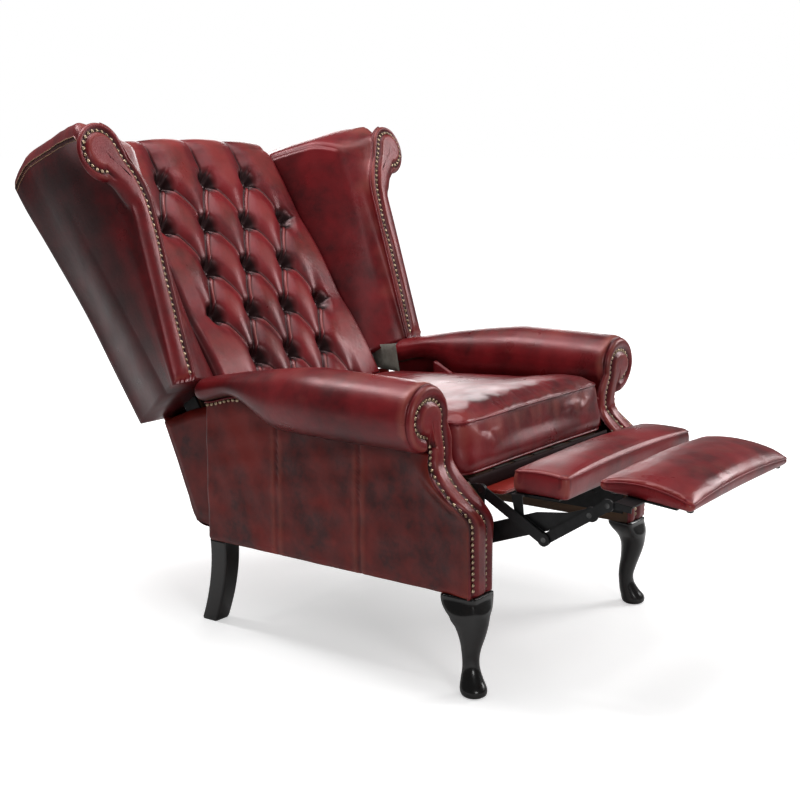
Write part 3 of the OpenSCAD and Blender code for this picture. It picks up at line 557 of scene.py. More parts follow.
def flip(points, side):
    p = np.array(points, float)
    p[..., 0] *= side
    return p


def settled(thing):
    """The mesh of an object with its modifiers applied, and its points."""
    graph = bpy.context.evaluated_depsgraph_get()
    graph.update()
    mesh = bpy.data.meshes.new_from_object(thing.evaluated_get(graph))
    at = np.zeros(len(mesh.vertices) * 3)
    mesh.vertices.foreach_get("co", at)
    return mesh, at.reshape(-1, 3)


PRESSURE = 4.0
CLOTH_FRAMES = 20


def swell(piece, cap, voxel, held):
    """Blow the cover up with a cloth simulation and keep the result in its mesh.

    cap is the furthest that a point moves and voxel the size of the new mesh, both in metres.
    held gives each point's freedom along x, y and z, from 0 to 1.
    """
    scene = bpy.context.scene
    tones = np.zeros(len(piece.data.vertices), np.float32)
    piece.data.attributes["shade"].data.foreach_get("value", tones)
    tree = KDTree(len(piece.data.vertices))
    for v in piece.data.vertices:
        tree.insert(v.co, v.index)
    tree.balance()
    work = stand("swelling", piece.data.copy())
    remesh = work.modifiers.new("remesh", "REMESH")
    remesh.mode = "VOXEL"
    remesh.voxel_size = voxel
    fine, before = settled(work)
    work.modifiers.clear()
    work.data = fine
    cloth = work.modifiers.new("cloth", "CLOTH")
    cloth.settings.use_pressure = True
    cloth.settings.uniform_pressure_force = PRESSURE
    cloth.settings.effector_weights.gravity = 0
    cloth.settings.quality = 5
    cloth.point_cache.frame_start = 1
    cloth.point_cache.frame_end = CLOTH_FRAMES
    for k in range(1, CLOTH_FRAMES + 1):
        scene.frame_set(k)
    move = settled(work)[1] - before
    work.modifiers.clear()
    length = np.linalg.norm(move, axis=1, keepdims=True)
    move = move * np.minimum(1.0, cap / np.maximum(length, 1e-9)) * held(before)
    fine.vertices.foreach_set("co", (before + move).ravel())
    soft = work.modifiers.new("soft", "SUBSURF")
    soft.levels = 1
    soft.render_levels = 1
    final, at = settled(work)
    final.name = piece.data.name + "_swollen"
    if "shade" in final.attributes:
        final.attributes.remove(final.attributes["shade"])
    # Each new point takes the tones of the three nearest old ones
    value = []
    for q in at:
        hits = [(tones[i], 1 / (gap + 1e-4)) for _, i, gap in tree.find_n(Vector(q), 3)]
        value.append(sum(t * w for t, w in hits) / sum(w for _, w in hits))
    shade = final.attributes.new("shade", "FLOAT", "POINT")
    shade.data.foreach_set("value", np.array(value, np.float32))
    final.shade_smooth()
    final.materials.clear()
    final.materials.append(piece.data.materials[0])
    piece.data = final
    bpy.data.objects.remove(work)
    scene.frame_set(1)


def onto(piece, paths, lift):
    """The paths laid on the piece's surface, in millimetres."""
    mesh = piece.data
    tree = BVHTree.FromPolygons([v.co for v in mesh.vertices], [p.vertices for p in mesh.polygons])
    laid = []
    for path in paths:
        spots = []
        for q in np.asarray(path, float) * 0.001:
            where, normal, _, _ = tree.find_nearest(Vector(q))
            spots.append(np.array(where + normal * lift) * 1000)
        laid.append(np.array(spots))
    return laid


# Camera

camera_data = bpy.data.cameras.new("camera")
camera = stand("camera", camera_data)
camera_data.sensor_width = 36
camera_data.lens = 61.55
LOOKS_DOWN = 10.679
LOOKS_ROUND = 53.975
camera.location = (-2.3666, -1.6300, 1.0197)
camera.rotation_euler = (math.radians(90 - LOOKS_DOWN), 0, math.radians(-LOOKS_ROUND))
bpy.context.scene.camera = camera

# Tufted inside back

PILLOW = 14.0
PIT_DEEP = 26.0
PIT_R = 19.5
PLEAT_DEEP = 4.0
TUFT_TOP = 17.0
CREST_BOW = 19.0


def gap_at(u):
    return BUTTON_GAP - BUTTON_TAPER * np.maximum(0, TOP_ROW - u)


def lattice(p, u):
    """Steps along the two slanting rows of buttons. p counts half gaps across."""
    q = (u - TOP_ROW) / ROW_GAP
    return (p + q) / 2, (p - q) / 2


def puff(d):
    return 1 - (1 - 2 * np.abs(d)) ** 2.4


def tuft(x, u):
    """Height of the buttoned leather over the button plane, and its tone of painted shade and painted
    highlight.
    """
    half_gap = gap_at(u) / 2
    last = 3 * half_gap
    wide = np.abs(x)
    held = np.sign(x) * np.where(wide < last - 8, wide, last - 8 + 8 * np.tanh((wide - last + 8) / 8))
    p = held / half_gap
    # The pleats bow upward between the buttons, so that the pillows lie like scales
    over = smooth((u - TOP_ROW) / 40)
    a, b = lattice(p, u)
    sa, sb = np.sin(np.pi * a) ** 2, np.sin(np.pi * b) ** 2
    a, b = lattice(p, u - 15 * np.sqrt(sa + sb - sa * sb) * (1 - over))
    da, db = a - np.round(a), b - np.round(b)
    flute = p / 2 - np.round(p / 2)
    body = mix(puff(da) * puff(db), puff(flute), over)
    outer = smooth((wide - last) / 30)
    crest_fade = 1 - smooth((u - TOP_ROW - 50) / 80)
    body = 1 - (1 - body) * (1 - 0.6 * outer) * mix(0.45, 1, crest_fade)
    # Each pleat is a thin groove with painted shade along it, and a rolled lip below it with a painted
    # highlight
    steep = np.hypot(0.5 / half_gap, 0.5 / ROW_GAP)
    below_a, below_b = -da / steep, db / steep
    line = np.maximum(bell(below_a / 2.3), bell(below_b / 2.3)) * (1 - over)
    line = np.maximum(line, bell(flute * half_gap) * over * crest_fade)
    lip = np.maximum(bell((below_a - 5.2) / 2.6), bell((below_b - 5.2) / 2.6)) * (1 - over) * (1 - outer)
    second = bell((below_b - 10.5) / 1.7) * (1 - over) * (1 - outer)
    line = line * (1 - 0.35 * outer) * mix(1, 1 - smooth((wide - last - 26) / 14), outer)
    # The nearest button
    ra, rb = [np.round(v) for v in lattice(x / half_gap, u)]
    step, row = ra + rb, ra - rb
    up = TOP_ROW + row * ROW_GAP
    real = (row <= 0) & (np.abs(step) <= 3)
    r = np.hypot(x - step * gap_at(up) / 2, (u - up) * 0.93)
    pit = np.where(real, np.exp(-(r / PIT_R) ** 2.4), 0)
    rim = np.where(real, bell((r - 30) / 12), 0)
    pleats = 3.0 * lip - PLEAT_DEEP * line - 1.2 * second
    height = TUFT_TOP - PILLOW * (1 - body) - PIT_DEEP * pit + pleats * (1 - pit)
    height = height + 0.8 * ripple(x * 1.4, u * 1.4, 1.3) * (1 - 0.6 * outer)
    # Painted shade in the pits, pleat lines and valleys between the pillows; painted highlight on the lips,
    # pillow tops and pit rims
    tone = 0.62 * lip * (1 - pit) - 1.1 * line - 0.5 * second - 1.8 * pit ** 0.75
    tone = tone + 0.14 * smooth((body - 0.55) / 0.45) - 0.42 * (1 - body) ** 2 + 0.03 * rim
    return height, tone


def build_back():
    xs = np.linspace(-BACK_HALF, BACK_HALF, 257)
    us = np.arange(-30, 612, 2.1)
    top = BACK_H - BACK_ARCH * (xs / BACK_HALF) ** 2
    side = 10 * smooth((np.abs(xs) - 248) / 20) ** 2
    rows, tones = [], []
    for u in us:
        h, tone = tuft(xs, np.full_like(xs, u))
        last_h = h - 18 * np.clip((u - top + 44) / 44, 0, 1) ** 2 - side
        rows.append(on_back(xs, last_h, u))
        # Painted shade where the back meets the wings
        tones.append(tone - 0.8 * smooth((np.abs(xs) - 246) / 22))
    # The leather rolls over the crest and down to the outside back
    crest = BACK_H + 8 - CREST_BOW * (xs / 291.7) ** 2
    for t in np.linspace(0, 1, 34)[1:]:
        a = t * math.pi / 2
        rows.append(on_back(xs, mix(last_h, -34.0, 1 - math.cos(a)), us[-1] + (crest - us[-1]) * math.sin(a)))
        # A painted highlight along the roll over the crest
        tones.append(tone * (1 - t) + 0.10 * math.sin(math.pi * t))
    behind = [(-60, crest), (-90, crest - 0.5), (-118, crest - 1.5), (-134, crest - 4), (-145, crest - 9),
              (-152, crest - 17), (-154.5, crest - 28), (-154.5, crest - 60), (-154.5, 560.0), (-60, 560.0),
              (-48.5, 540.0), (-48.5, -30.0)]
    for w, u in behind:
        rows.append(on_back(xs, w, u))
        tones.append(np.zeros_like(xs))
    piece = slab("tufted_back", np.array(rows), RED, "back", ("inside_back", "back_crest"), tones)


def build_buttons():
    profile = [(0.4, -7), (1.0, -4.5), (1.05, -1.5), (0.95, 0.8), (0.75, 2.4), (0.45, 3.4), (0.18, 3.8)]
    parts = []
    for row in range(5):
        half = 1.5 if row % 2 else 1.0
        u = TOP_ROW - row * ROW_GAP
        for i in np.arange(-half, half + 0.1, 1.0):
            x = i * gap_at(u)
            parts.append(turned(lambda a, b, h: on_back(x + BUTTON_R * a, h - TUFT_TOP, u + BUTTON_R * b),
                                profile, 20, 3.9))
    # The buttons are painted in full shade, as dark as the pits they sit in
    make("covered_buttons", *join(parts), RED, "back", ("back_buttons",), -1.0)


build_back()
build_buttons()

# Outside back

OUTSIDE_FROM = 45.0
OUTSIDE_TO = 646.0


def rear_x(u):
    """Half width of the back at its rear."""
    return BASE_HALF + 1 + 0.068 * (u - OUTSIDE_FROM)


def build_outside_back():
    ts = np.linspace(-1, 1, 91)
    edge = 8 * (1 - smooth((1 - np.abs(ts)) / 0.02))

    def inner_row(u, share):
        return on_back(share * (rear_x(min(u, 625)) - 1), -155.3, u)

    rows = [inner_row(OUTSIDE_FROM, ts)]
    for u in np.concatenate([np.linspace(OUTSIDE_FROM, 600, 75), np.linspace(606, OUTSIDE_TO, 9)]):
        x = ts * (rear_x(min(u, 625)) - 24 * smooth((u - 600) / 46) ** 2 - 1)
        belly = 7 * (1 - np.abs(ts) ** 5) * (1 - ((u - 330) / 330) ** 4)
        rows.append(on_back(x, -(165 + belly - edge), np.minimum(u, BACK_H - 6 - 10 * (x / 380) ** 2)))
    rows = np.array(rows + [inner_row(OUTSIDE_TO, ts * 0.94)])
    tone = 0.1 * ripple(rows[..., 0], rows[..., 2], 0.4)
    piece = slab("outside_back_panel", rows, PANEL, "back", ("outside_back",), tone)
    right = [(rear_x(u) - 2, u) for u in np.linspace(46, 612, 60)]
    arc = [(x, OUTSIDE_TO - 10 * (x / 380) ** 2) for x in np.linspace(362, 0, 30)]
    line = right + arc
    line = line + [(-x, u) for x, u in line[::-1][1:]]
    path = curve_through([on_back(x, -157.5, u) for x, u in line[::4] + [line[-1]]], 8)
    welt("outside_back_welt", [path], 2.8, RED, "back")


build_outside_back()

# Wings

# The rings run up the inner side, over the crown and down the outer side
INNER_COUNT = 60
CROWN_COUNT = 41
OUTER_COUNT = 60
WING_SEAM = INNER_COUNT + CROWN_COUNT
INNER_TOP = 606.0
INNER_TOP_REAR = 626.0
FRONT_BLEND = 0.74


def wing_reach(u):
    return WING_FOOT + WING_RAKE * u


def wing_front():
    """Front outline as x and u: inner side up, round the scroll and down the outer side."""
    cx, cu = WING_SCROLL
    r, neck = WING_SCROLL_R, cu - 115
    inner = [(WING_IN, mix(27, neck, i / 6)) for i in range(7)]
    t = np.array([0.1, 0.35, 0.6, 0.85])
    inner += list(zip(mix(WING_IN, cx - r + 6, t * t), mix(neck + 12, cu, t)))
    a = np.radians(160 - 250 * np.arange(CROWN_COUNT) / (CROWN_COUNT - 1))
    arc = list(zip(cx + r * np.cos(a), cu + r * np.sin(a)))
    outer = [(mix(cx - 10, WING_OUT + 6, s), mix(cu - r - 2, neck + 10, s)) for s in (0.3, 0.8)]
    outer += [(WING_OUT, mix(neck, 27, i / 6)) for i in range(7)]
    outer = resample(curve_through([arc[-1]] + outer, 4), OUTER_COUNT)
    return resample(curve_through(inner, 4), INNER_COUNT), np.array(arc), outer


# The top line of the wing as depth in front of the button plane, place across and height up the slope
WING_RIDGE = np.array([
    (-155, 386, 652), (-130, 392, 656), (-90, 396, 662), (-70, 399, 660), (-50, 405, 654), (10, 423, 633),
    (30, 429, 625), (50, 436, 618), (70, 443, 611), (90, 450, 602), (110, 459, 595), (130, 466, 586),
    (150, 474, 577), (170, 481, 567), (195, 487, 553)], float)


def wing_ring(s):
    """Ring of the wing: s is -1 at the rear, 0 at the button plane and 1 at the front plane."""
    ahead = max(0.0, s)
    w_top = BACK_DEPTH * s if s < 0 else WING_DEPTH * s
    rx = float(np.interp(w_top, WING_RIDGE[:, 0], WING_RIDGE[:, 1]))
    ru = float(np.interp(w_top, WING_RIDGE[:, 0], WING_RIDGE[:, 2])) - 2 * smooth((s - 0.45) / 0.2)
    reach = smooth(ahead)
    x_in = mix(BACK_HALF + 2, WING_IN, ahead ** 1.2)
    x_out = mix(rear_x(300) + 2 + 44 * smooth(s + 1), WING_OUT, ahead)
    in_u = INNER_TOP - 0.33 * w_top if s > 0 else mix(INNER_TOP, INNER_TOP_REAR, smooth(-2 * s))
    in_u = in_u - 40 * smooth((w_top - 85) / 110)
    inner = [(x_in, 27), (x_in, 150), (x_in + 0.5, 330), (x_in + 1, in_u - 90), (x_in + 2, in_u - 19)]
    crown = [inner[-1], (x_in + 6, in_u - 8), (x_in + 17, in_u - 1), ((x_in + rx) / 2, (in_u + ru) / 2 + 1),
             (rx - 8, ru - 1), (rx + 10, ru - 8), (rx + 22, ru - 30)]
    outer = [crown[-1], (mix(rx + 22, x_out, 0.16 + 0.6 * reach) + 3, ru - 90),
             (mix(rx + 22, x_out, 0.55 + 0.45 * reach) + 5, ru - 190), (x_out + 6, 300), (x_out + 3, 150),
             (x_out, 27)]
    soft = np.vstack([resample(curve_through(line, step), count) for line, step, count in (
        (inner, 6, INNER_COUNT), (crown, 3, CROWN_COUNT), (outer, 6, OUTER_COUNT))])
    p = mix(soft, np.vstack(WING_FRONT), smooth((s - FRONT_BLEND) / (1 - FRONT_BLEND)) ** 1.3)
    x, u = p[:, 0], p[:, 1]
    index = np.arange(len(p))
    inner_side = np.where(index < INNER_COUNT, 1.0, smooth(1 - (index - INNER_COUNT) / 26.0))
    hollow = 5 * math.sin(math.pi * ahead)
    belly = 8 * math.sin(math.pi * (s + 1) / 2) * smooth((index - 96) / 16) * smooth((162 - index) / 40)
    w = np.full_like(x, BACK_DEPTH * s) if s < 0 else s * (wing_reach(u) - 8)
    return x - hollow * inner_side + belly, w, u


def build_wing(side, word):
    steps = [1, 0.985, 0.965, 0.94, 0.91, 0.88]
    steps += list(np.linspace(0.85, 0, 30)) + list(np.linspace(-0.04, -1, 22))
    rings, tones = [], []
    for s in steps:
        x, w, u = wing_ring(s)
        rings.append(on_back(x, w, u))
        index = np.arange(len(x))
        # Painted shade on the inner side towards the back, on the outer side towards the rear, and on the
        # roof near the front; painted highlight on the inner front and along the crown
        inner_painted_shade = 0.40 * max(0.0, 1 - max(s, 0.0)) ** 1.3 + 0.2 * smooth((0.1 - s) / 0.25)
        outside_painted_shade = 0.3 + 0.5 * smooth((0.72 - s) / 0.35)
        near_roll = bell((s - 0.9) / 0.12) * smooth((index - 88) / 8) * smooth((118 - index) / 10)
        tone = 0.12 * ripple(w * 2, u * 2, 2.2) + 0.16 * smooth((s - 0.55) / 0.45) * (index < 92)
        tone = tone - inner_painted_shade * (index < 62) - outside_painted_shade * smooth((index - 96) / 12) - 0.5 * near_roll
        tones.append(tone + 0.18 * bell((index - 86) / 9) - 0.7 * bell((index - WING_SEAM) / 0.8) * (s < 0.9))
    piece = loft("wing_cover_" + word, flip(rings, side), RED, "back", ("wing_" + word,), tones, "across")


WING_FRONT = wing_front()
both(build_wing)

WING_NAIL_LINE = [
    (387, 43), (389, 90), (390, 125), (390, 180), (390, 243), (387, 309), (389, 349), (393, 393), (407, 434),
    (420, 459), (432, 478)]


def scroll_arc(centre, rx, rz, start, end, steps=30):
    a = np.radians(np.linspace(start, end, steps))
    return [(centre[0] + rx * math.cos(t), centre[1] + rz * math.sin(t)) for t in a]


def facing_mesh(outline, spine, nail_path, raised, thick, groove, bed, roll=10.0):
    """Flat points, heights over the backing and tones of a padded facing.

    The nails stand in a channel between the raised middle and the rolled edge.
    """
    shares = (0, 0.02, 0.045, 0.08, 0.12, 0.16, 0.2, 0.25, 0.3, 0.36, 0.42, 0.5, 0.58, 0.67, 0.77, 0.88, 1.0)
    flat = np.array([mix(outline, spine, t) for t in shares])
    p = flat.reshape(-1, 2)
    edge = distance_to(p, np.vstack([outline, outline[:1]]))
    row = distance_to(p, nail_path)
    middle = inside(p, raised)
    channel = np.where(middle, bell(row / 4.2), bell(row / bed))
    h = thick * np.sqrt(np.clip(1 - (1 - np.clip(edge / roll, 0, 1)) ** 2, 0, 1))
    h = h - groove * channel * smooth(edge / 4)
    h = h + np.where(middle, 4.2 * smooth((row - 2.5) / 7) * smooth(edge / (roll * 1.4)),
                     2.2 * smooth((row - 4) / 8) * smooth(edge / 6))
    # Painted highlight on the raised middle beside the nails and on the rolled edge; painted shade in the
    # nail channel and at the very edge
    tone = np.where(middle, 0.20 * bell((row - 9) / 5) + 0.06 * smooth((row - 5) / 8),
                    0.30 * bell((edge - 5) / 4.5))
    tone = tone - 1.15 * channel - 0.35 * bell(edge / 1.8)
    return flat, h.reshape(flat.shape[:2]), tone.reshape(flat.shape[:2])


def close_facing(name, outline, form, place, behind, side, body, replaces):
    """The piece of a padded facing, closed by its outline at the given height behind."""
    flat, h, tone = form
    rows = [place(*outline.T, behind)] + [place(*f.T, rise) for f, rise in zip(flat, h)]
    faces = grid_faces(len(rows), len(outline), wrap=True)
    faces.append(tuple(range(len(outline)))[::-1])
    points = flip(rows, side).reshape(-1, 3)
    return make(name, points, faces, RED, body, replaces, np.vstack([tone[:1], tone]))


def wing_facing(side, word):
    inner, arc, outer = WING_FRONT
    outline = np.vstack(WING_FRONT)
    spine = []
    for k, (x, u) in enumerate(outline):
        if len(inner) <= k < WING_SEAM:
            spine.append(WING_SCROLL)
        elif u > WING_SCROLL[1] - 60:
            spine.append((mix(422, WING_SCROLL[0], smooth((u - WING_SCROLL[1] + 60) / 60)), u))
        else:
            spine.append((mix(403, 422, smooth((u - 340) / 90)), u))
    scroll = scroll_arc((482, 487), 42, 40, 170, -95)[1:]
    nail_path = curve_through(WING_NAIL_LINE + scroll, NAIL_PITCH + 0.4)
    raised = np.vstack([nail_path, outer[::2]])
    form = facing_mesh(outline, np.array(spine), nail_path, raised, 9.0, 4.6, 7.5, 19.0)

    def place(x, u, height):
        return on_back(x, wing_reach(u) - 8 + height, u)

    close_facing("wing_front_" + word, outline, form, place, -1.0, side, "back", ("wing_facing_" + word,))
    spots = flip(place(*nail_path.T, 5.0), side)
    lean = (0.0, -BACK_COS - WING_RAKE * BACK_SIN, BACK_SIN - WING_RAKE * BACK_COS)
    nails("wing_nails_" + word, spots, [lean] * len(spots), "back")
    edge_in = np.vstack([inner[::3], arc[:12:3]])
    path = place(edge_in[:, 0] - 0.5, edge_in[:, 1], 1.5)
    welt("wing_inner_welt_" + word, [flip(curve_through(path, 6), side)], 2.6, RED, "back")


both(wing_facing)


def wing_seams(side, word):
    """Double stitching along the outer edge of the roof."""
    out = np.array([side * 0.75, 0.25, 0.6])
    for name, index in (("high", WING_SEAM - 1), ("low", WING_SEAM + 1)):
        path = []
        for s in np.linspace(-0.98, 0.9, 60):
            x, w, u = wing_ring(float(s))
            path.append(on_back(x[index], w[index], u[index]))
        path = flip(path, side) + out * 0.2
        stitches("wing_stitches_" + name + "_" + word, path, out, 4.6, 3.2, "back", 0.75, 0.3)


both(wing_seams)

# Arms


def seam_at(y):
    return SEAM_Z + 51 * smooth((y - 100) / 145) - 19 * smooth((y - 245) / 93)


ROLL_RX = 65
ROLL_NARROWS = 29
ROLL_MOVES_IN = 27
ROLL_DROPS = 56


def roll_ring(y, shrink):
    """Section of the arm roll across x and z, from its outer seam over the top to the inside."""
    low = float(seam_at(y))
    top = ROLL_TOP + 4 - 4 * (min(0, y) / 248) ** 2 - ROLL_DROPS * (max(0, y) / REAR) ** 1.3
    narrow = float(smooth((y + 60) / (REAR + 60)))
    rx, cx = ROLL_RX - ROLL_NARROWS * narrow, SCROLL_X - ROLL_MOVES_IN * narrow
    rz = (top - low) / 2 - 1
    cz = top - rz
    a0 = -math.degrees(math.acos(max(-0.6, (BASE_HALF - cx) / rx)))
    a = np.radians(a0 + (180 - a0) * np.arange(45) / 44)
    x = np.concatenate([[BASE_HALF - 6], cx + (rx - shrink) * np.cos(a), [300]])
    z = np.concatenate([[low - 2], cz + (rz - shrink) * np.sin(a), [low]])
    return x, z


def build_roll(side, word):
    front = -FRONT + NECK + 9
    stations = [(front + 0.5, 9.0), (front + 1.2, 5.5), (front + 3, 2.6), (front + 6, 0.7), (front + 10, 0.0)]
    stations += [(y, 0.0) for y in np.linspace(front + 16, REAR - 6, 60)]
    stations += [(REAR - 3, 1.5), (REAR - 0.5, 5.0), (REAR, 9.0)]
    rings, tones = [], []
    for y, shrink in stations:
        x, z = roll_ring(y, shrink)
        seam = seam_at(y)
        pleat = 0.9 * bell((y - front - 16) / 14) * np.cos(np.linspace(0, 46 * math.pi, len(x)))
        z = z + pleat * (z > 500)
        rings.append(stack(x, y, z))
        # Painted highlight at the front end and on top of the roll; painted shade along the seam and under
        # the roll on its outer side
        tone = 0.3 * bell((y - front - 9) / 9) + 0.10 * ripple(y * 2, z * 3, 0.7)
        tone = tone + 0.1 * smooth((z - 560) / 30) - 0.6 * bell((z - seam) / 9)
        tones.append(tone - 0.5 * smooth((seam + 52 - z) / 48) * (x > 340))
    piece = loft("arm_roll_cover_" + word, flip(rings, side), RED, "base", ("arm_roll_" + word,), tones)


both(build_roll)

ARM_INNER_NAILS = [
    (308, 200), (308, 230), (309, 284), (310, 317), (315, 338), (323, 353), (330, 367), (333, 385),
    (332.5, 402), (328, 419), (321, 440), (319, 458), (324, 482), (331, 500)]
ARM_OUTER_NAILS = [
    (366, 487), (364, 476), (361, 460), (363, 442), (366, 423), (371, 405), (374, 389), (372, 374),
    (366, 362), (358, 349), (354, 331), (352.5, 300), (350.5, 250), (349, 200)]


def face_y(z):
    """Front of the padded facing, which lies a little behind the straight face in the curve."""
    z = np.asarray(z, float)
    return -FRONT - 1 + 88 * smooth((z - 331) / 116) - 3 * smooth((z - 470) / 60)


def outer_edge(z):
    """Outer edge of the arm's front below the scroll."""
    z = np.asarray(z, float)
    return BASE_HALF + 7 + 25 * bell((z - 393) / 40) * smooth((z - 318) / 40)


def inner_edge(z):
    z = np.asarray(z, float)
    return 284 + 6 * smooth((z - 320) / 60) + 3 * smooth((z - 400) / 60)


def build_arm_front(side, word):
    outer = [(float(outer_edge(z)), z) for z in np.linspace(LEG_H, 462, 60)]
    arc = [(366, 468), (377, 466)] + scroll_arc((SCROLL_X, SCROLL_Z), SCROLL_R, SCROLL_R, -82, 192, 70)
    inner = [(306, 506), (297, 492)] + [(float(inner_edge(z)), z) for z in np.linspace(480, LEG_H, 64)]
    outline = np.array(outer + arc + inner)
    spine = []
    for k, (_, z) in enumerate(outline):
        if len(outer) + 2 <= k < len(outer) + len(arc):
            spine.append((SCROLL_X - 1, SCROLL_Z))
        elif z > 440:
            t = smooth((z - 440) / 70)
            spine.append((mix(341.0, SCROLL_X - 1, t), mix(z, SCROLL_Z, t * t)))
        else:
            spine.append(((float(outer_edge(z)) + float(inner_edge(z))) / 2 + 3, z))
    scroll = scroll_arc((SCROLL_X, SCROLL_Z), 41, 34, 205, -85, 40)[2:]
    nail_path = curve_through(ARM_INNER_NAILS + scroll + ARM_OUTER_NAILS, NAIL_PITCH - 0.7)
    flat, h, tone = facing_mesh(outline, np.array(spine), nail_path, nail_path, 9.5, 4.8, 6.5)
    low = smooth((330 - flat[..., 1]) / 40)
    form = flat, h - 1.5 * low, tone * (1 - 0.45 * low)

    def place(x, z, height):
        return stack(x, face_y(z) + 10 - height, z)

    piece = close_facing("arm_front_" + word, outline, form, place, 0.3, side, "base",
                         ("arm_facing_" + word,))
    x, z = nail_path[nail_path[:, 1] > LEG_H + 6].T
    slope = (face_y(z + 1) - face_y(z - 1)) / 2
    nails("arm_nails_" + word, flip(place(x, z, 5.3), side), [(0, -1, g) for g in slope], "base")


both(build_arm_front)

PANEL_SEAMS = (141.0, -67.0)


def build_arm_side(side, word):
    ys = np.unique(np.concatenate([np.linspace(0, 1, 120), [0.003, 0.008, 0.016, 0.03, 0.97, 0.985, 0.995]]))
    rows, tones = [], []
    for up in np.concatenate([[0, 0.004, 0.012, 0.03], np.linspace(0.05, 1, 50)]):
        first = float(face_y(mix(LEG_H, SEAM_Z, up))) + 9
        y = mix(first, REAR, ys)
        z = mix(LEG_H, seam_at(y), up)
        seams = sum(bell((y - s) / 2.2) for s in PANEL_SEAMS)
        beside = sum(bell((y - s - 9) / 7) + bell((y - s + 9) / 7) for s in PANEL_SEAMS)
        flare = (outer_edge(z) - BASE_HALF) * bell((y - first) / 42)
        bow = 2.2 * math.sin(math.pi * up) + 1.2 * ripple(y * 2, z * 2, 1.1)
        rounded = 9 * smooth((y - REAR + 9) / 9) ** 2 + 6 * (1 - smooth(up / 0.03)) ** 2
        rows.append(stack(BASE_HALF + flare + bow - 2.6 * seams + 0.8 * beside - rounded, y, z))
        # Painted highlight beside the seams, at the front and rear edges and along the foot; painted shade
        # under the roll at the top
        tones.append(-0.45 * seams + 0.28 * beside + 0.2 * bell((y - first) / 16) + 0.3 * bell((y - REAR) / 5)
                     - 0.5 * bell((up - 1) / 0.06) + 0.15 * bell(up / 0.02))
    rows = np.array(rows)
    back = rows.copy()
    back[..., 0] = BASE_HALF - 9.6
    piece = make("arm_side_" + word, *sheet_mesh(flip(rows, side), flip(back, side)), PANEL, "base",
                 ("outside_arm_" + word,), tones + tones)
    y = np.linspace(-FRONT + NECK + 14, REAR - 4, 80)
    seam = stack(BASE_HALF + 1.0, y, seam_at(y) - 1)
    welt("arm_seam_welt_" + word, [flip(seam, side)], 2.0, RED, "base")
    y = np.arange(243, REAR - 6, NAIL_PITCH)
    spots = flip(stack(BASE_HALF + 1.5, y, seam_at(y) - 5.5), side)
    nails("arm_rear_nails_" + word, spots, [(side, 0, 0)] * len(spots), "base")


both(build_arm_side)


def build_inside_arm(side, word):
    ys = np.linspace(-FRONT + NECK + 8, 203, 60)
    rows = []
    for up in np.linspace(0, 1, 20):
        x = 293.0 - 3.0 * math.sin(math.pi * up) - 3 * smooth((up - 0.7) / 0.3)
        rows.append(stack(x, ys, mix(400.0, seam_at(ys) + 6, up)))
    rows = np.array(rows)
    back = rows.copy()
    back[..., 0] = 322
    # Painted shade, a little darker all over, beside the seat and under the roll
    piece = make("inside_arm_cover_" + word, *sheet_mesh(flip(rows, side), flip(back, side)), RED, "base",
                 ("inside_arm_" + word,), -0.15)


both(build_inside_arm)


def build_arm_lining(side, word):
    """Leather over the rear of the arm board, beside the seat."""
    ys = np.linspace(204, 336, 30)
    line = [(y, 388.0) for y in ys] + [(y, float(seam_at(y)) - 4) for y in ys[::-1]]
    rings = plate(resample(line + line[:1], 101)[:-1], (
        (321.8, 0.02), (321.8, 0.5), (321.8, 0.98), (321.5, 1), (320.7, 1), (320.3, 0.98), (320.3, 0.5),
        (320.3, 0.02)))
    # Painted shade, darker all over, beside the seat
    piece = loft("arm_lining_" + word, flip(rings, side), RED, "base", (), -0.3)


both(build_arm_lining)

# Seat cushion and lip


def cushion_loop(hx, hy, r, pull, count=240):
    """Outline of a rounded rectangle with sides drawn in between the corners."""
    corners = ((hx - r, hy - r, 0), (-hx + r, hy - r, 90), (-hx + r, -hy + r, 180), (hx - r, -hy + r, 270))
    raw = []
    for cx, cy, a0 in corners:
        a = np.radians(a0 + np.linspace(0, 90, 12))
        raw += list(zip(cx + r * np.cos(a), cy + r * np.sin(a)))
    x, y = resample(raw + raw[:1], count + 1)[:-1].T
    pull_x = pull * np.clip(1 - (y / hy) ** 2, 0, 1) * (np.abs(x) / hx) ** 4
    pull_y = pull * np.clip(1 - (x / hx) ** 2, 0, 1) * (np.abs(y) / hy) ** 4
    return x - np.sign(x) * pull_x, y - np.sign(y) * pull_y


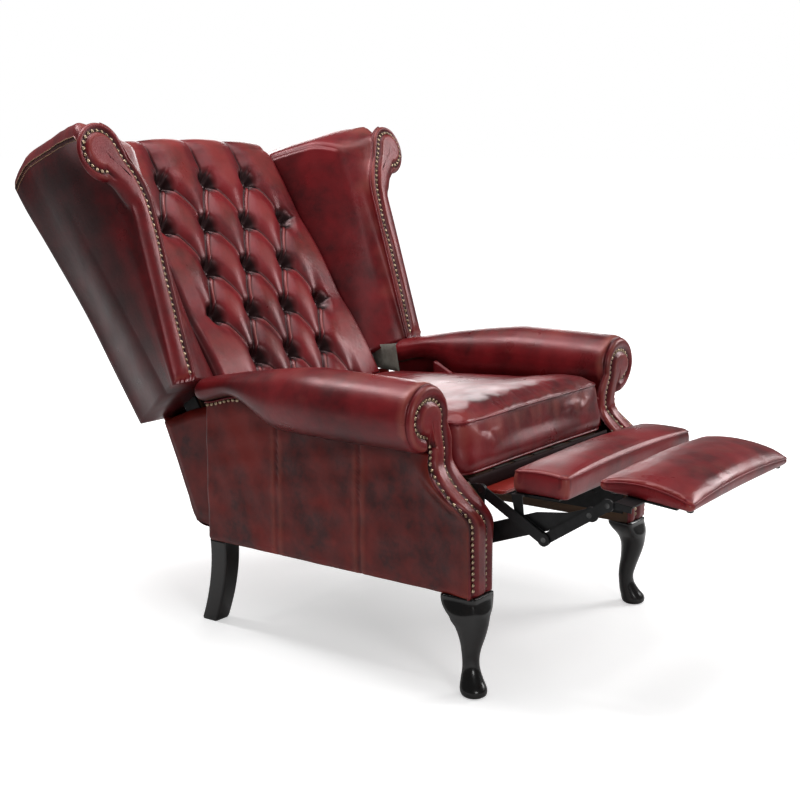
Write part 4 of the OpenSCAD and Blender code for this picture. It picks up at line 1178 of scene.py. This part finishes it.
def build_cushion():
    rings, tones = [], []

    def add(inset, z, bulge=0.0, tone=0.0, top=False, f=1.0):
        hx, hy = (CUSHION_X - inset) * f, (CUSHION_Y - inset) * f
        x, y = cushion_loop(hx, hy, CUSHION_CORNER * f, CUSHION_PULL * f)
        nx, ny = x / CUSHION_X, y / CUSHION_Y
        around = np.arctan2(ny, nx)
        front = smooth((-y - CUSHION_Y * 0.5) / (CUSHION_Y * 0.45))
        wrinkle = np.sin(around * 41) * np.sin(around * 17 + 1) * front
        x = x + bulge * nx ** 5
        y = y + bulge * ny ** 5
        if top:
            crown = np.clip(1 - (x / CUSHION_X) ** 2, 0, 1) * np.clip(1 - (y / CUSHION_Y) ** 2, 0, 1)
            rim = smooth((1 - f) / 0.16)
            pinch = 1.1 * wrinkle * bell((f - 0.93) / 0.05)
            z = z + CUSHION_CROWN * crown + 3.0 * rim + pinch + 0.8 * ripple(x * 2.4, y * 2.4, 0.9) * rim
        rings.append(on_seat(x, y + CUSHION_MIDDLE, z))
        # Painted light and shade following the wrinkles of the front band
        tones.append(tone + 0.05 * ripple(x, y, 1.9) + 0.16 * wrinkle * (bulge > 0 and not top))

    add(60, 0.6)
    add(16, 0.5)
    # Painted shade along the bottom and beside the top welt; the front band is painted lighter at the top and
    # darker at the bottom, and the top has a painted highlight at its rim
    add(6, 1.2, 0, -0.4)
    add(2.5, 4.5, 0, -0.5)
    for z, bulge in ((8, 1.2), (14, 2.8), (24, 4.6), (38, 5.6), (54, 5.8), (70, 5.0), (84, 3.6), (94, 2.0),
                     (100, 0.6)):
        add(1.0, z, bulge, 0.16 * smooth((z - 40) / 50) - 0.16 * smooth((40 - z) / 30))
    add(2.0, 103.5, 0, -0.5)
    add(4.5, 106.2, 0, -0.4)
    for f in (0.985, 0.97, 0.95, 0.925, 0.9, 0.86, 0.8, 0.72, 0.63, 0.53, 0.43, 0.33, 0.23, 0.13, 0.05):
        add(4.5, CUSHION_TOP, 0, 0.10 if f > 0.9 else 0.02, True, f)
    piece = loft("seat_cushion_cover", rings, RED, "seat", ("seat_cushion",), tones)

    def freedom(at):
        y, z = on_seat_back(at * 1000)
        top = smooth((z - 20) / 40)
        front = smooth((200 - y) / 120)
        return np.stack([0.12 * top, front * top, front * top], -1)

    swell(piece, 0.012, 0.0062, freedom)
    for name, inset, z, r in (("top", 1.2, 104.6, 2.9), ("bottom", 2.2, 4.2, 2.6)):
        x, y = cushion_loop(CUSHION_X - inset, CUSHION_Y - inset, CUSHION_CORNER, CUSHION_PULL)
        path = onto(piece, [on_seat(x, y + CUSHION_MIDDLE, z)], 0.0008)
        welt("cushion_welt_" + name, path, r, RED, "seat", closed=True)


def build_lip():
    """Red leather lip on the seat frame, in front of the cushion."""
    rings = []
    for inset, z in ((3.0, -36), (0.9, -35), (0, -32), (0.9, -29), (3.0, -28)):
        x, y = cushion_loop(233 - inset, 55 - inset, 6, 0, 120)
        rings.append(on_seat(x, y + 5, z))
    loft("seat_lip_cover", rings, LIP, "seat", ("seat_lip",), 0.1)
    edge = on_seat(np.linspace(-231, 231, 60), -49.5, -30.5)
    welt("seat_lip_edge", [edge], 1.6, LIP, "seat")


def build_seat_front():
    """Dark leather stretched over the front rail of the seat frame, under the cushion, with painted shade all
    over it.
    """
    xs = np.linspace(-277, 277, 80)
    line = [(3.0, -0.9), (0.4, -0.6), (-1.4, -2.0), (-1.8, -9.0), (-1.9, -17.0), (-1.6, -25.0), (-0.6, -27.2),
            (3, -27.4)]
    outer = np.array([on_seat(xs, y, z) for y, z in line])
    inner = np.array([on_seat(xs, max(y + 1.2, -0.5), min(z, -2.2)) for y, z in line])
    piece = make("seat_front_leather", *sheet_mesh(outer, inner), DARK, "seat", (), -0.9)


build_cushion()
build_lip()
build_seat_front()


def build_side_board(side, word):
    """Grey board beside the foot of the back, over the steel bracket."""
    outline = resample([(309, 468), (383, 473), (396, 527), (352, 533), (322, 537), (309, 468)], 100)[:-1]
    rings = plate(outline, ((297.3, 0.02), (297.3, 0.5), (297.3, 0.99), (297.7, 1), (298.9, 1), (299.3, 0.99),
                            (299.3, 0.5), (299.3, 0.02)))
    loft("back_side_board_" + word, flip(rings, side), LINING, "back")


both(build_side_board)

# Footrest pads


def build_pad(name, place, hx, hy, z0, z1, crown, pull, lift_x, lift_y, body, replaces, fold, swell_cap):
    """A pad of half sizes hx and hy from z0 to z1, whose sides rise by lift_x and lift_y at their middles.

    fold is the reach of the gathered corners. swell_cap is the furthest that the cloth moves, 0 for none.
    """
    r = 10
    rings, tones = [], []

    def lift(x, y):
        gx, gy = np.clip(1 - (x / hx) ** 2, 0, 1), np.clip(1 - (y / hy) ** 2, 0, 1)
        return lift_x * gy + lift_y * gx, gx * gy

    def add(inset, z, share, tone=0.0, top=False, f=1.0, puff_out=0.0):
        x, y = cushion_loop((hx - inset) * f, (hy - inset) * f, r * f, pull * f, 260)
        rise, middle = lift(x, y)
        corner = bell(np.hypot(np.abs(x) - hx, np.abs(y) - hy) / fold)
        x = x + puff_out * (x / hx) ** 7
        y = y + puff_out * (y / hy) ** 7
        z = z + share * rise
        if top:
            rim = smooth((1 - f) / 0.2)
            z = z + crown * middle + 2.0 * rim - 1.6 * corner * (1 - rim)
            z = z + 0.5 * ripple(x * 3, y * 3, 2.0) * rim
        rings.append(place(x, y, z))
        # Painted highlight on the gathered corners and painted shade in the creases round them
        tones.append(tone + 0.3 * corner - 0.6 * bell((corner - 0.45) / 0.12) * (0.4 < share)
                     + 0.06 * ripple(x * 2, y * 2, 0.6))

    t = z1 - z0
    add(40, z0 + 0.5, 0)
    add(8, z0 + 0.4, 0)
    # Painted shade along the bottom and under the top welt; painted highlight along the top edge
    add(3, z0 + 1, 0, -0.3)
    add(0.8, z0 + 3.5, 0.05, -0.2)
    for k in (0.25, 0.4, 0.55, 0.7):
        add(0, z0 + t * k, k * 0.8, 0.03, puff_out=1.2 * math.sin(math.pi * k))
    add(0.6, z1 - 5, 1, 0.05)
    add(1.6, z1 - 3, 1, -0.35)
    add(2.4, z1 - 1.6, 1, 0.22)
    add(5, z1, 1, 0.2)
    for f in (0.985, 0.965, 0.94, 0.9, 0.84, 0.76, 0.66, 0.55, 0.44, 0.33, 0.22, 0.12, 0.05):
        add(5, z1, 1, 0.06, True, f)
    piece = loft(name, rings, RED, body, replaces, tones)
    floor_z = float(place(0, 0, z0)[..., 2]) / 1000

    def freedom(at):
        free = smooth((at[:, 2] - floor_z - 0.0005 * t) / 0.012)
        return np.stack([0.3 * free, 0.1 * free, free], -1)

    if swell_cap > 0:
        swell(piece, swell_cap, 0.0042, freedom)
    x, y = cushion_loop(hx - 0.4, hy - 0.4, r, pull, 200)
    path = onto(piece, [place(x, y, z1 - 3.4 + lift(x, y)[0])], 0.0004)
    welt(name + "_welt", path, 1.5, RED, body, closed=True)


# The inner pad isn't swollen: folded, it would touch the board of the outer one
build_pad("inner_pad_cover", on_inner_pad, 264, 57, -25, 18, 8, 3, 4, 5, "footrest_inner", ("inner_pad",),
          16, 0.0)
build_pad("outer_pad_cover", on_outer_pad, 228, 91, -10, 7, 6, 4, 13, 8, "footrest_outer", ("outer_pad",),
          18, 0.004)

# Legs


def leg_ring(cx, cy, out_front, in_rear, in_front, out_rear, n, z):
    """Section of a front leg, turned 45 degrees, by its reach to four sides.

    n is 2 for a round section and 1 for a square one.
    """
    t = -2 * math.pi * np.arange(56) / 56 - math.radians(9)
    c, s = np.cos(t), np.sin(t)
    rho = 1 / (np.abs(c) ** n + np.abs(s) ** n) ** (1 / n)
    a = rho * c * np.where(c > 0, out_front, in_rear)
    b = rho * s * np.where(s > 0, in_front, out_rear)
    return stack(cx + (a - b) * 0.7071, cy - (a + b) * 0.7071, z)


def build_front_leg(side, word):
    tx, ty, h = BASE_HALF - 35, -FRONT + 37, LEG_H
    fx, fy = tx + 12.5, ty - 25
    # Place, radius and share of the height, from the pad foot up to the knee
    ankle = [(fx, fy, 19, 0), (fx, fy, 24, 0.02), (fx, fy + 1, 26, 0.06), (fx - 1, fy + 3, 25, 0.095),
             (fx - 5, fy + 8, 21.5, 0.155), (tx + 3, ty - 12, 17, 0.25), (tx + 2, ty - 10.5, 16.5, 0.34),
             (tx + 4.5, ty - 12.5, 18.5, 0.435)]
    keys = [(x, y, r, r, r, r, 2, share) for x, y, r, share in ankle]
    keys += [
        (tx + 7, ty - 15.5, 20, 20, 22, 22, 2, 0.52), (tx + 10, ty - 18, 22.5, 22.5, 27, 27, 2, 0.615),
        (tx + 13, ty - 18.5, 25, 25, 32, 32, 2, 0.7), (tx + 15, ty - 17, 28, 28.5, 36.5, 37, 1.8, 0.76),
        (tx + 14, ty - 15, 32, 31, 39.5, 40, 1.65, 0.805), (tx + 10, ty - 10, 40, 32, 45, 45, 1.45, 0.85),
        (tx + 4, ty - 4.5, 47, 33, 48, 50, 1.25, 0.9), (tx, ty, 51, 34, 51, 52, 1.12, 0.955),
        (tx, ty, 51, 34, 51, 52, 1.1, 1.0)]
    fine = curve_through(np.array(keys, float) * np.array([1, 1, 1, 1, 1, 1, 20, h]), 2.6)
    rings = [leg_ring(*k[:6], k[6] / 20, min(max(k[7], 0), h)) for k in fine]
    loft("front_leg_turned_" + word, flip(rings, side), BLACK_WOOD, "base", ("front_leg_" + word,))


both(build_front_leg)


def box_ring(cx, cy, half, r, z):
    p = []
    for k, (sx, sy) in enumerate(((1, 1), (-1, 1), (-1, -1), (1, -1))):
        for a in np.radians(90 * k + np.linspace(0, 90, 9)):
            p.append((cx + sx * (half - r) + r * math.cos(a), cy + sy * (half - r) + r * math.sin(a), z))
    return p


REAR_LEG_HALF = 22.5
REAR_LEG_X, REAR_LEG_Y = 324, 315.5
SPLAY_IN, SPLAY_BACK = 25, 56


def build_rear_leg(side, word):
    rings = []
    for t in np.linspace(0, 1, 40):
        drop = 1 - t
        half = REAR_LEG_HALF - 1.5 * drop - 1.2 * bell(t / 0.012)
        x = REAR_LEG_X - SPLAY_IN * drop
        rings.append(box_ring(x, REAR_LEG_Y + SPLAY_BACK * drop ** 1.7, half, 5, LEG_H * t))
    loft("rear_leg_sabre_" + word, flip(rings, side), BLACK_WOOD, "base", ("rear_leg_" + word,))


both(build_rear_leg)

# Leather flap between the outside back and the base

FLAP_LOW = 204
FLAP_LINE = [(341, FLAP_LOW), (416, 212), (451, 292), (471, 341), (507, 420)]


def build_flap():
    line = curve_through(FLAP_LINE + [(518, 436)], 6)
    xs = np.linspace(-FLAP_HALF, FLAP_HALF, 100)
    rows = []
    for y, z in line:
        sag = 3.0 * (1 - (xs / FLAP_HALF) ** 2) * math.sin(math.pi * min(1, (z - FLAP_LOW) / 230))
        rows.append(stack(xs, y - 1.5 + sag, z))
    rows = np.array(rows)
    points, faces = sheet_mesh(rows, rows + np.array([0, -2.2, 0.8]))
    # Painted shade all over the flap, less along a fold 300 mm up
    painted_shade = 0.25 * bell((points[:, 2] - 300) / 20) - 0.2
    piece = make("rear_flap", points, faces, PANEL, None, ("back_flap",), painted_shade)
    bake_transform(piece)


def build_gusset(side, word):
    """Leather that closes the side of the flap."""
    outline = resample(FLAP_LINE + [(425, 455), (345, 478), (341, FLAP_LOW)], 120)[:-1]
    shares = (0.02, 0.2, 0.4, 0.6, 0.8, 1)
    rings = plate(outline, [(301.0, f) for f in shares] + [(303.2, f) for f in shares[::-1]])
    # Painted shade, a little darker all over
    piece = loft("flap_side_" + word, flip(rings, side), PANEL, None, (), -0.1)
    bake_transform(piece)


build_flap()
both(build_gusset)


def build_glides():
    """Plastic feet under the board of the outer pad."""
    profile = ((0.9, -9.6), (1.0, -11), (0.95, -13.5), (0.7, -15))
    parts = [turned(lambda a, b, h: on_outer_pad(x + 7 * a, y + 7 * b, h), profile, 16)
             for x in (-205, 205) for y in (-78, 70)]
    make("outer_pad_glides", *join(parts), RUBBER, "footrest_outer")


build_glides()

# Looks of the solids that stay

LOOKS = {SLOT_OF[look]: look for look in (DARK, BLACK_STEEL, BRIGHT_STEEL, WOOD, BLACK_WOOD, WEBBING, RED)}
slot_of_node = {s["node"]: s["material_slot"] for s in frame["record"]["subparts"]}
for name, solid in frame["nodes"].items():
    if solid.hide_render:
        continue
    look = LOOKS[slot_of_node[name]]
    if not solid.material_slots:
        solid.data.materials.append(look)
    for s in solid.material_slots:
        s.material = look

# Floor, backdrop and light

FLOOR_HALF = 70


def paper_material():
    """White floor whose glow, seen by the camera alone, grows with the distance from the chair."""
    m = bpy.data.materials.new("paper")
    m.use_nodes = True
    nodes = m.node_tree.nodes
    nodes.remove(nodes["Principled BSDF"])
    matt = node(m, "ShaderNodeBsdfDiffuse", Color=(0.82, 0.82, 0.82, 1))
    glow = node(m, "ShaderNodeEmission", Color=(1, 1, 1, 1))
    far = node(m, "ShaderNodeVectorMath", operation="LENGTH")
    link(m, coordinates(m), far.inputs[0])
    # The glow is weaker near the chair, so the floor there is painted darker as soft shade; far off it is
    # plain white
    fade = spread(m, far.outputs["Value"], 0.6, 3.2, 0.50, 1.05)
    seen = maths(m, "MULTIPLY", node(m, "ShaderNodeLightPath").outputs["Is Camera Ray"], fade)
    link(m, seen, glow.inputs["Strength"])
    total = node(m, "ShaderNodeAddShader")
    link(m, matt.outputs[0], total.inputs[0])
    link(m, glow.outputs[0], total.inputs[1])
    link(m, total.outputs[0], nodes["Material Output"].inputs["Surface"])
    return m


floor_mesh = bpy.data.meshes.new("floor")
corners = [(sx * FLOOR_HALF, sy * FLOOR_HALF, 0) for sx, sy in ((-1, -1), (1, -1), (1, 1), (-1, 1))]
floor_mesh.from_pydata(corners, [], [(0, 1, 2, 3)])
floor = stand("floor", floor_mesh)
floor_mesh.materials.append(paper_material())

# White to the camera and through clear parts, and dim to everything else
world = bpy.data.worlds.new("studio")
bpy.context.scene.world = world
world.use_nodes = True
sky = world.node_tree.nodes["Background"]
sky.inputs["Color"].default_value = (1, 1, 1, 1)
rays = node(world, "ShaderNodeLightPath")
seen = maths(world, "MAXIMUM", rays.outputs["Is Camera Ray"], rays.outputs["Is Transmission Ray"])
link(world, spread(world, seen, 0.0, 1.0, 0.17, 1.0), sky.inputs["Strength"])


def lamp(name, place, target, size, power):
    data = bpy.data.lights.new(name, "AREA")
    data.shape = "RECTANGLE"
    data.size, data.size_y = size
    data.energy = power
    light = stand(name, data)
    light.location = place
    light.rotation_euler = (Vector(target) - Vector(place)).to_track_quat("-Z", "Y").to_euler()


lamp("overhead", (0.3, 0.1, 3.4), (0, 0, 0.4), (3.0, 2.2), 60)
lamp("front_right", (3.0, -1.9, 2.1), (0, 0.2, 0.7), (1.3, 1.5), 62)
lamp("front_left", (-2.2, -3.6, 2.0), (0, 0, 0.5), (0.9, 1.2), 34)
lamp("behind", (3.1, 2.4, 1.5), (0, 0, 0.5), (2.2, 1.1), 34)
lamp("high_strip", (-0.75, 1.5, 3.0), (-0.4, -0.15, 0.6), (0.3, 1.6), 46)

bpy.context.scene.view_settings.view_transform = "Standard"
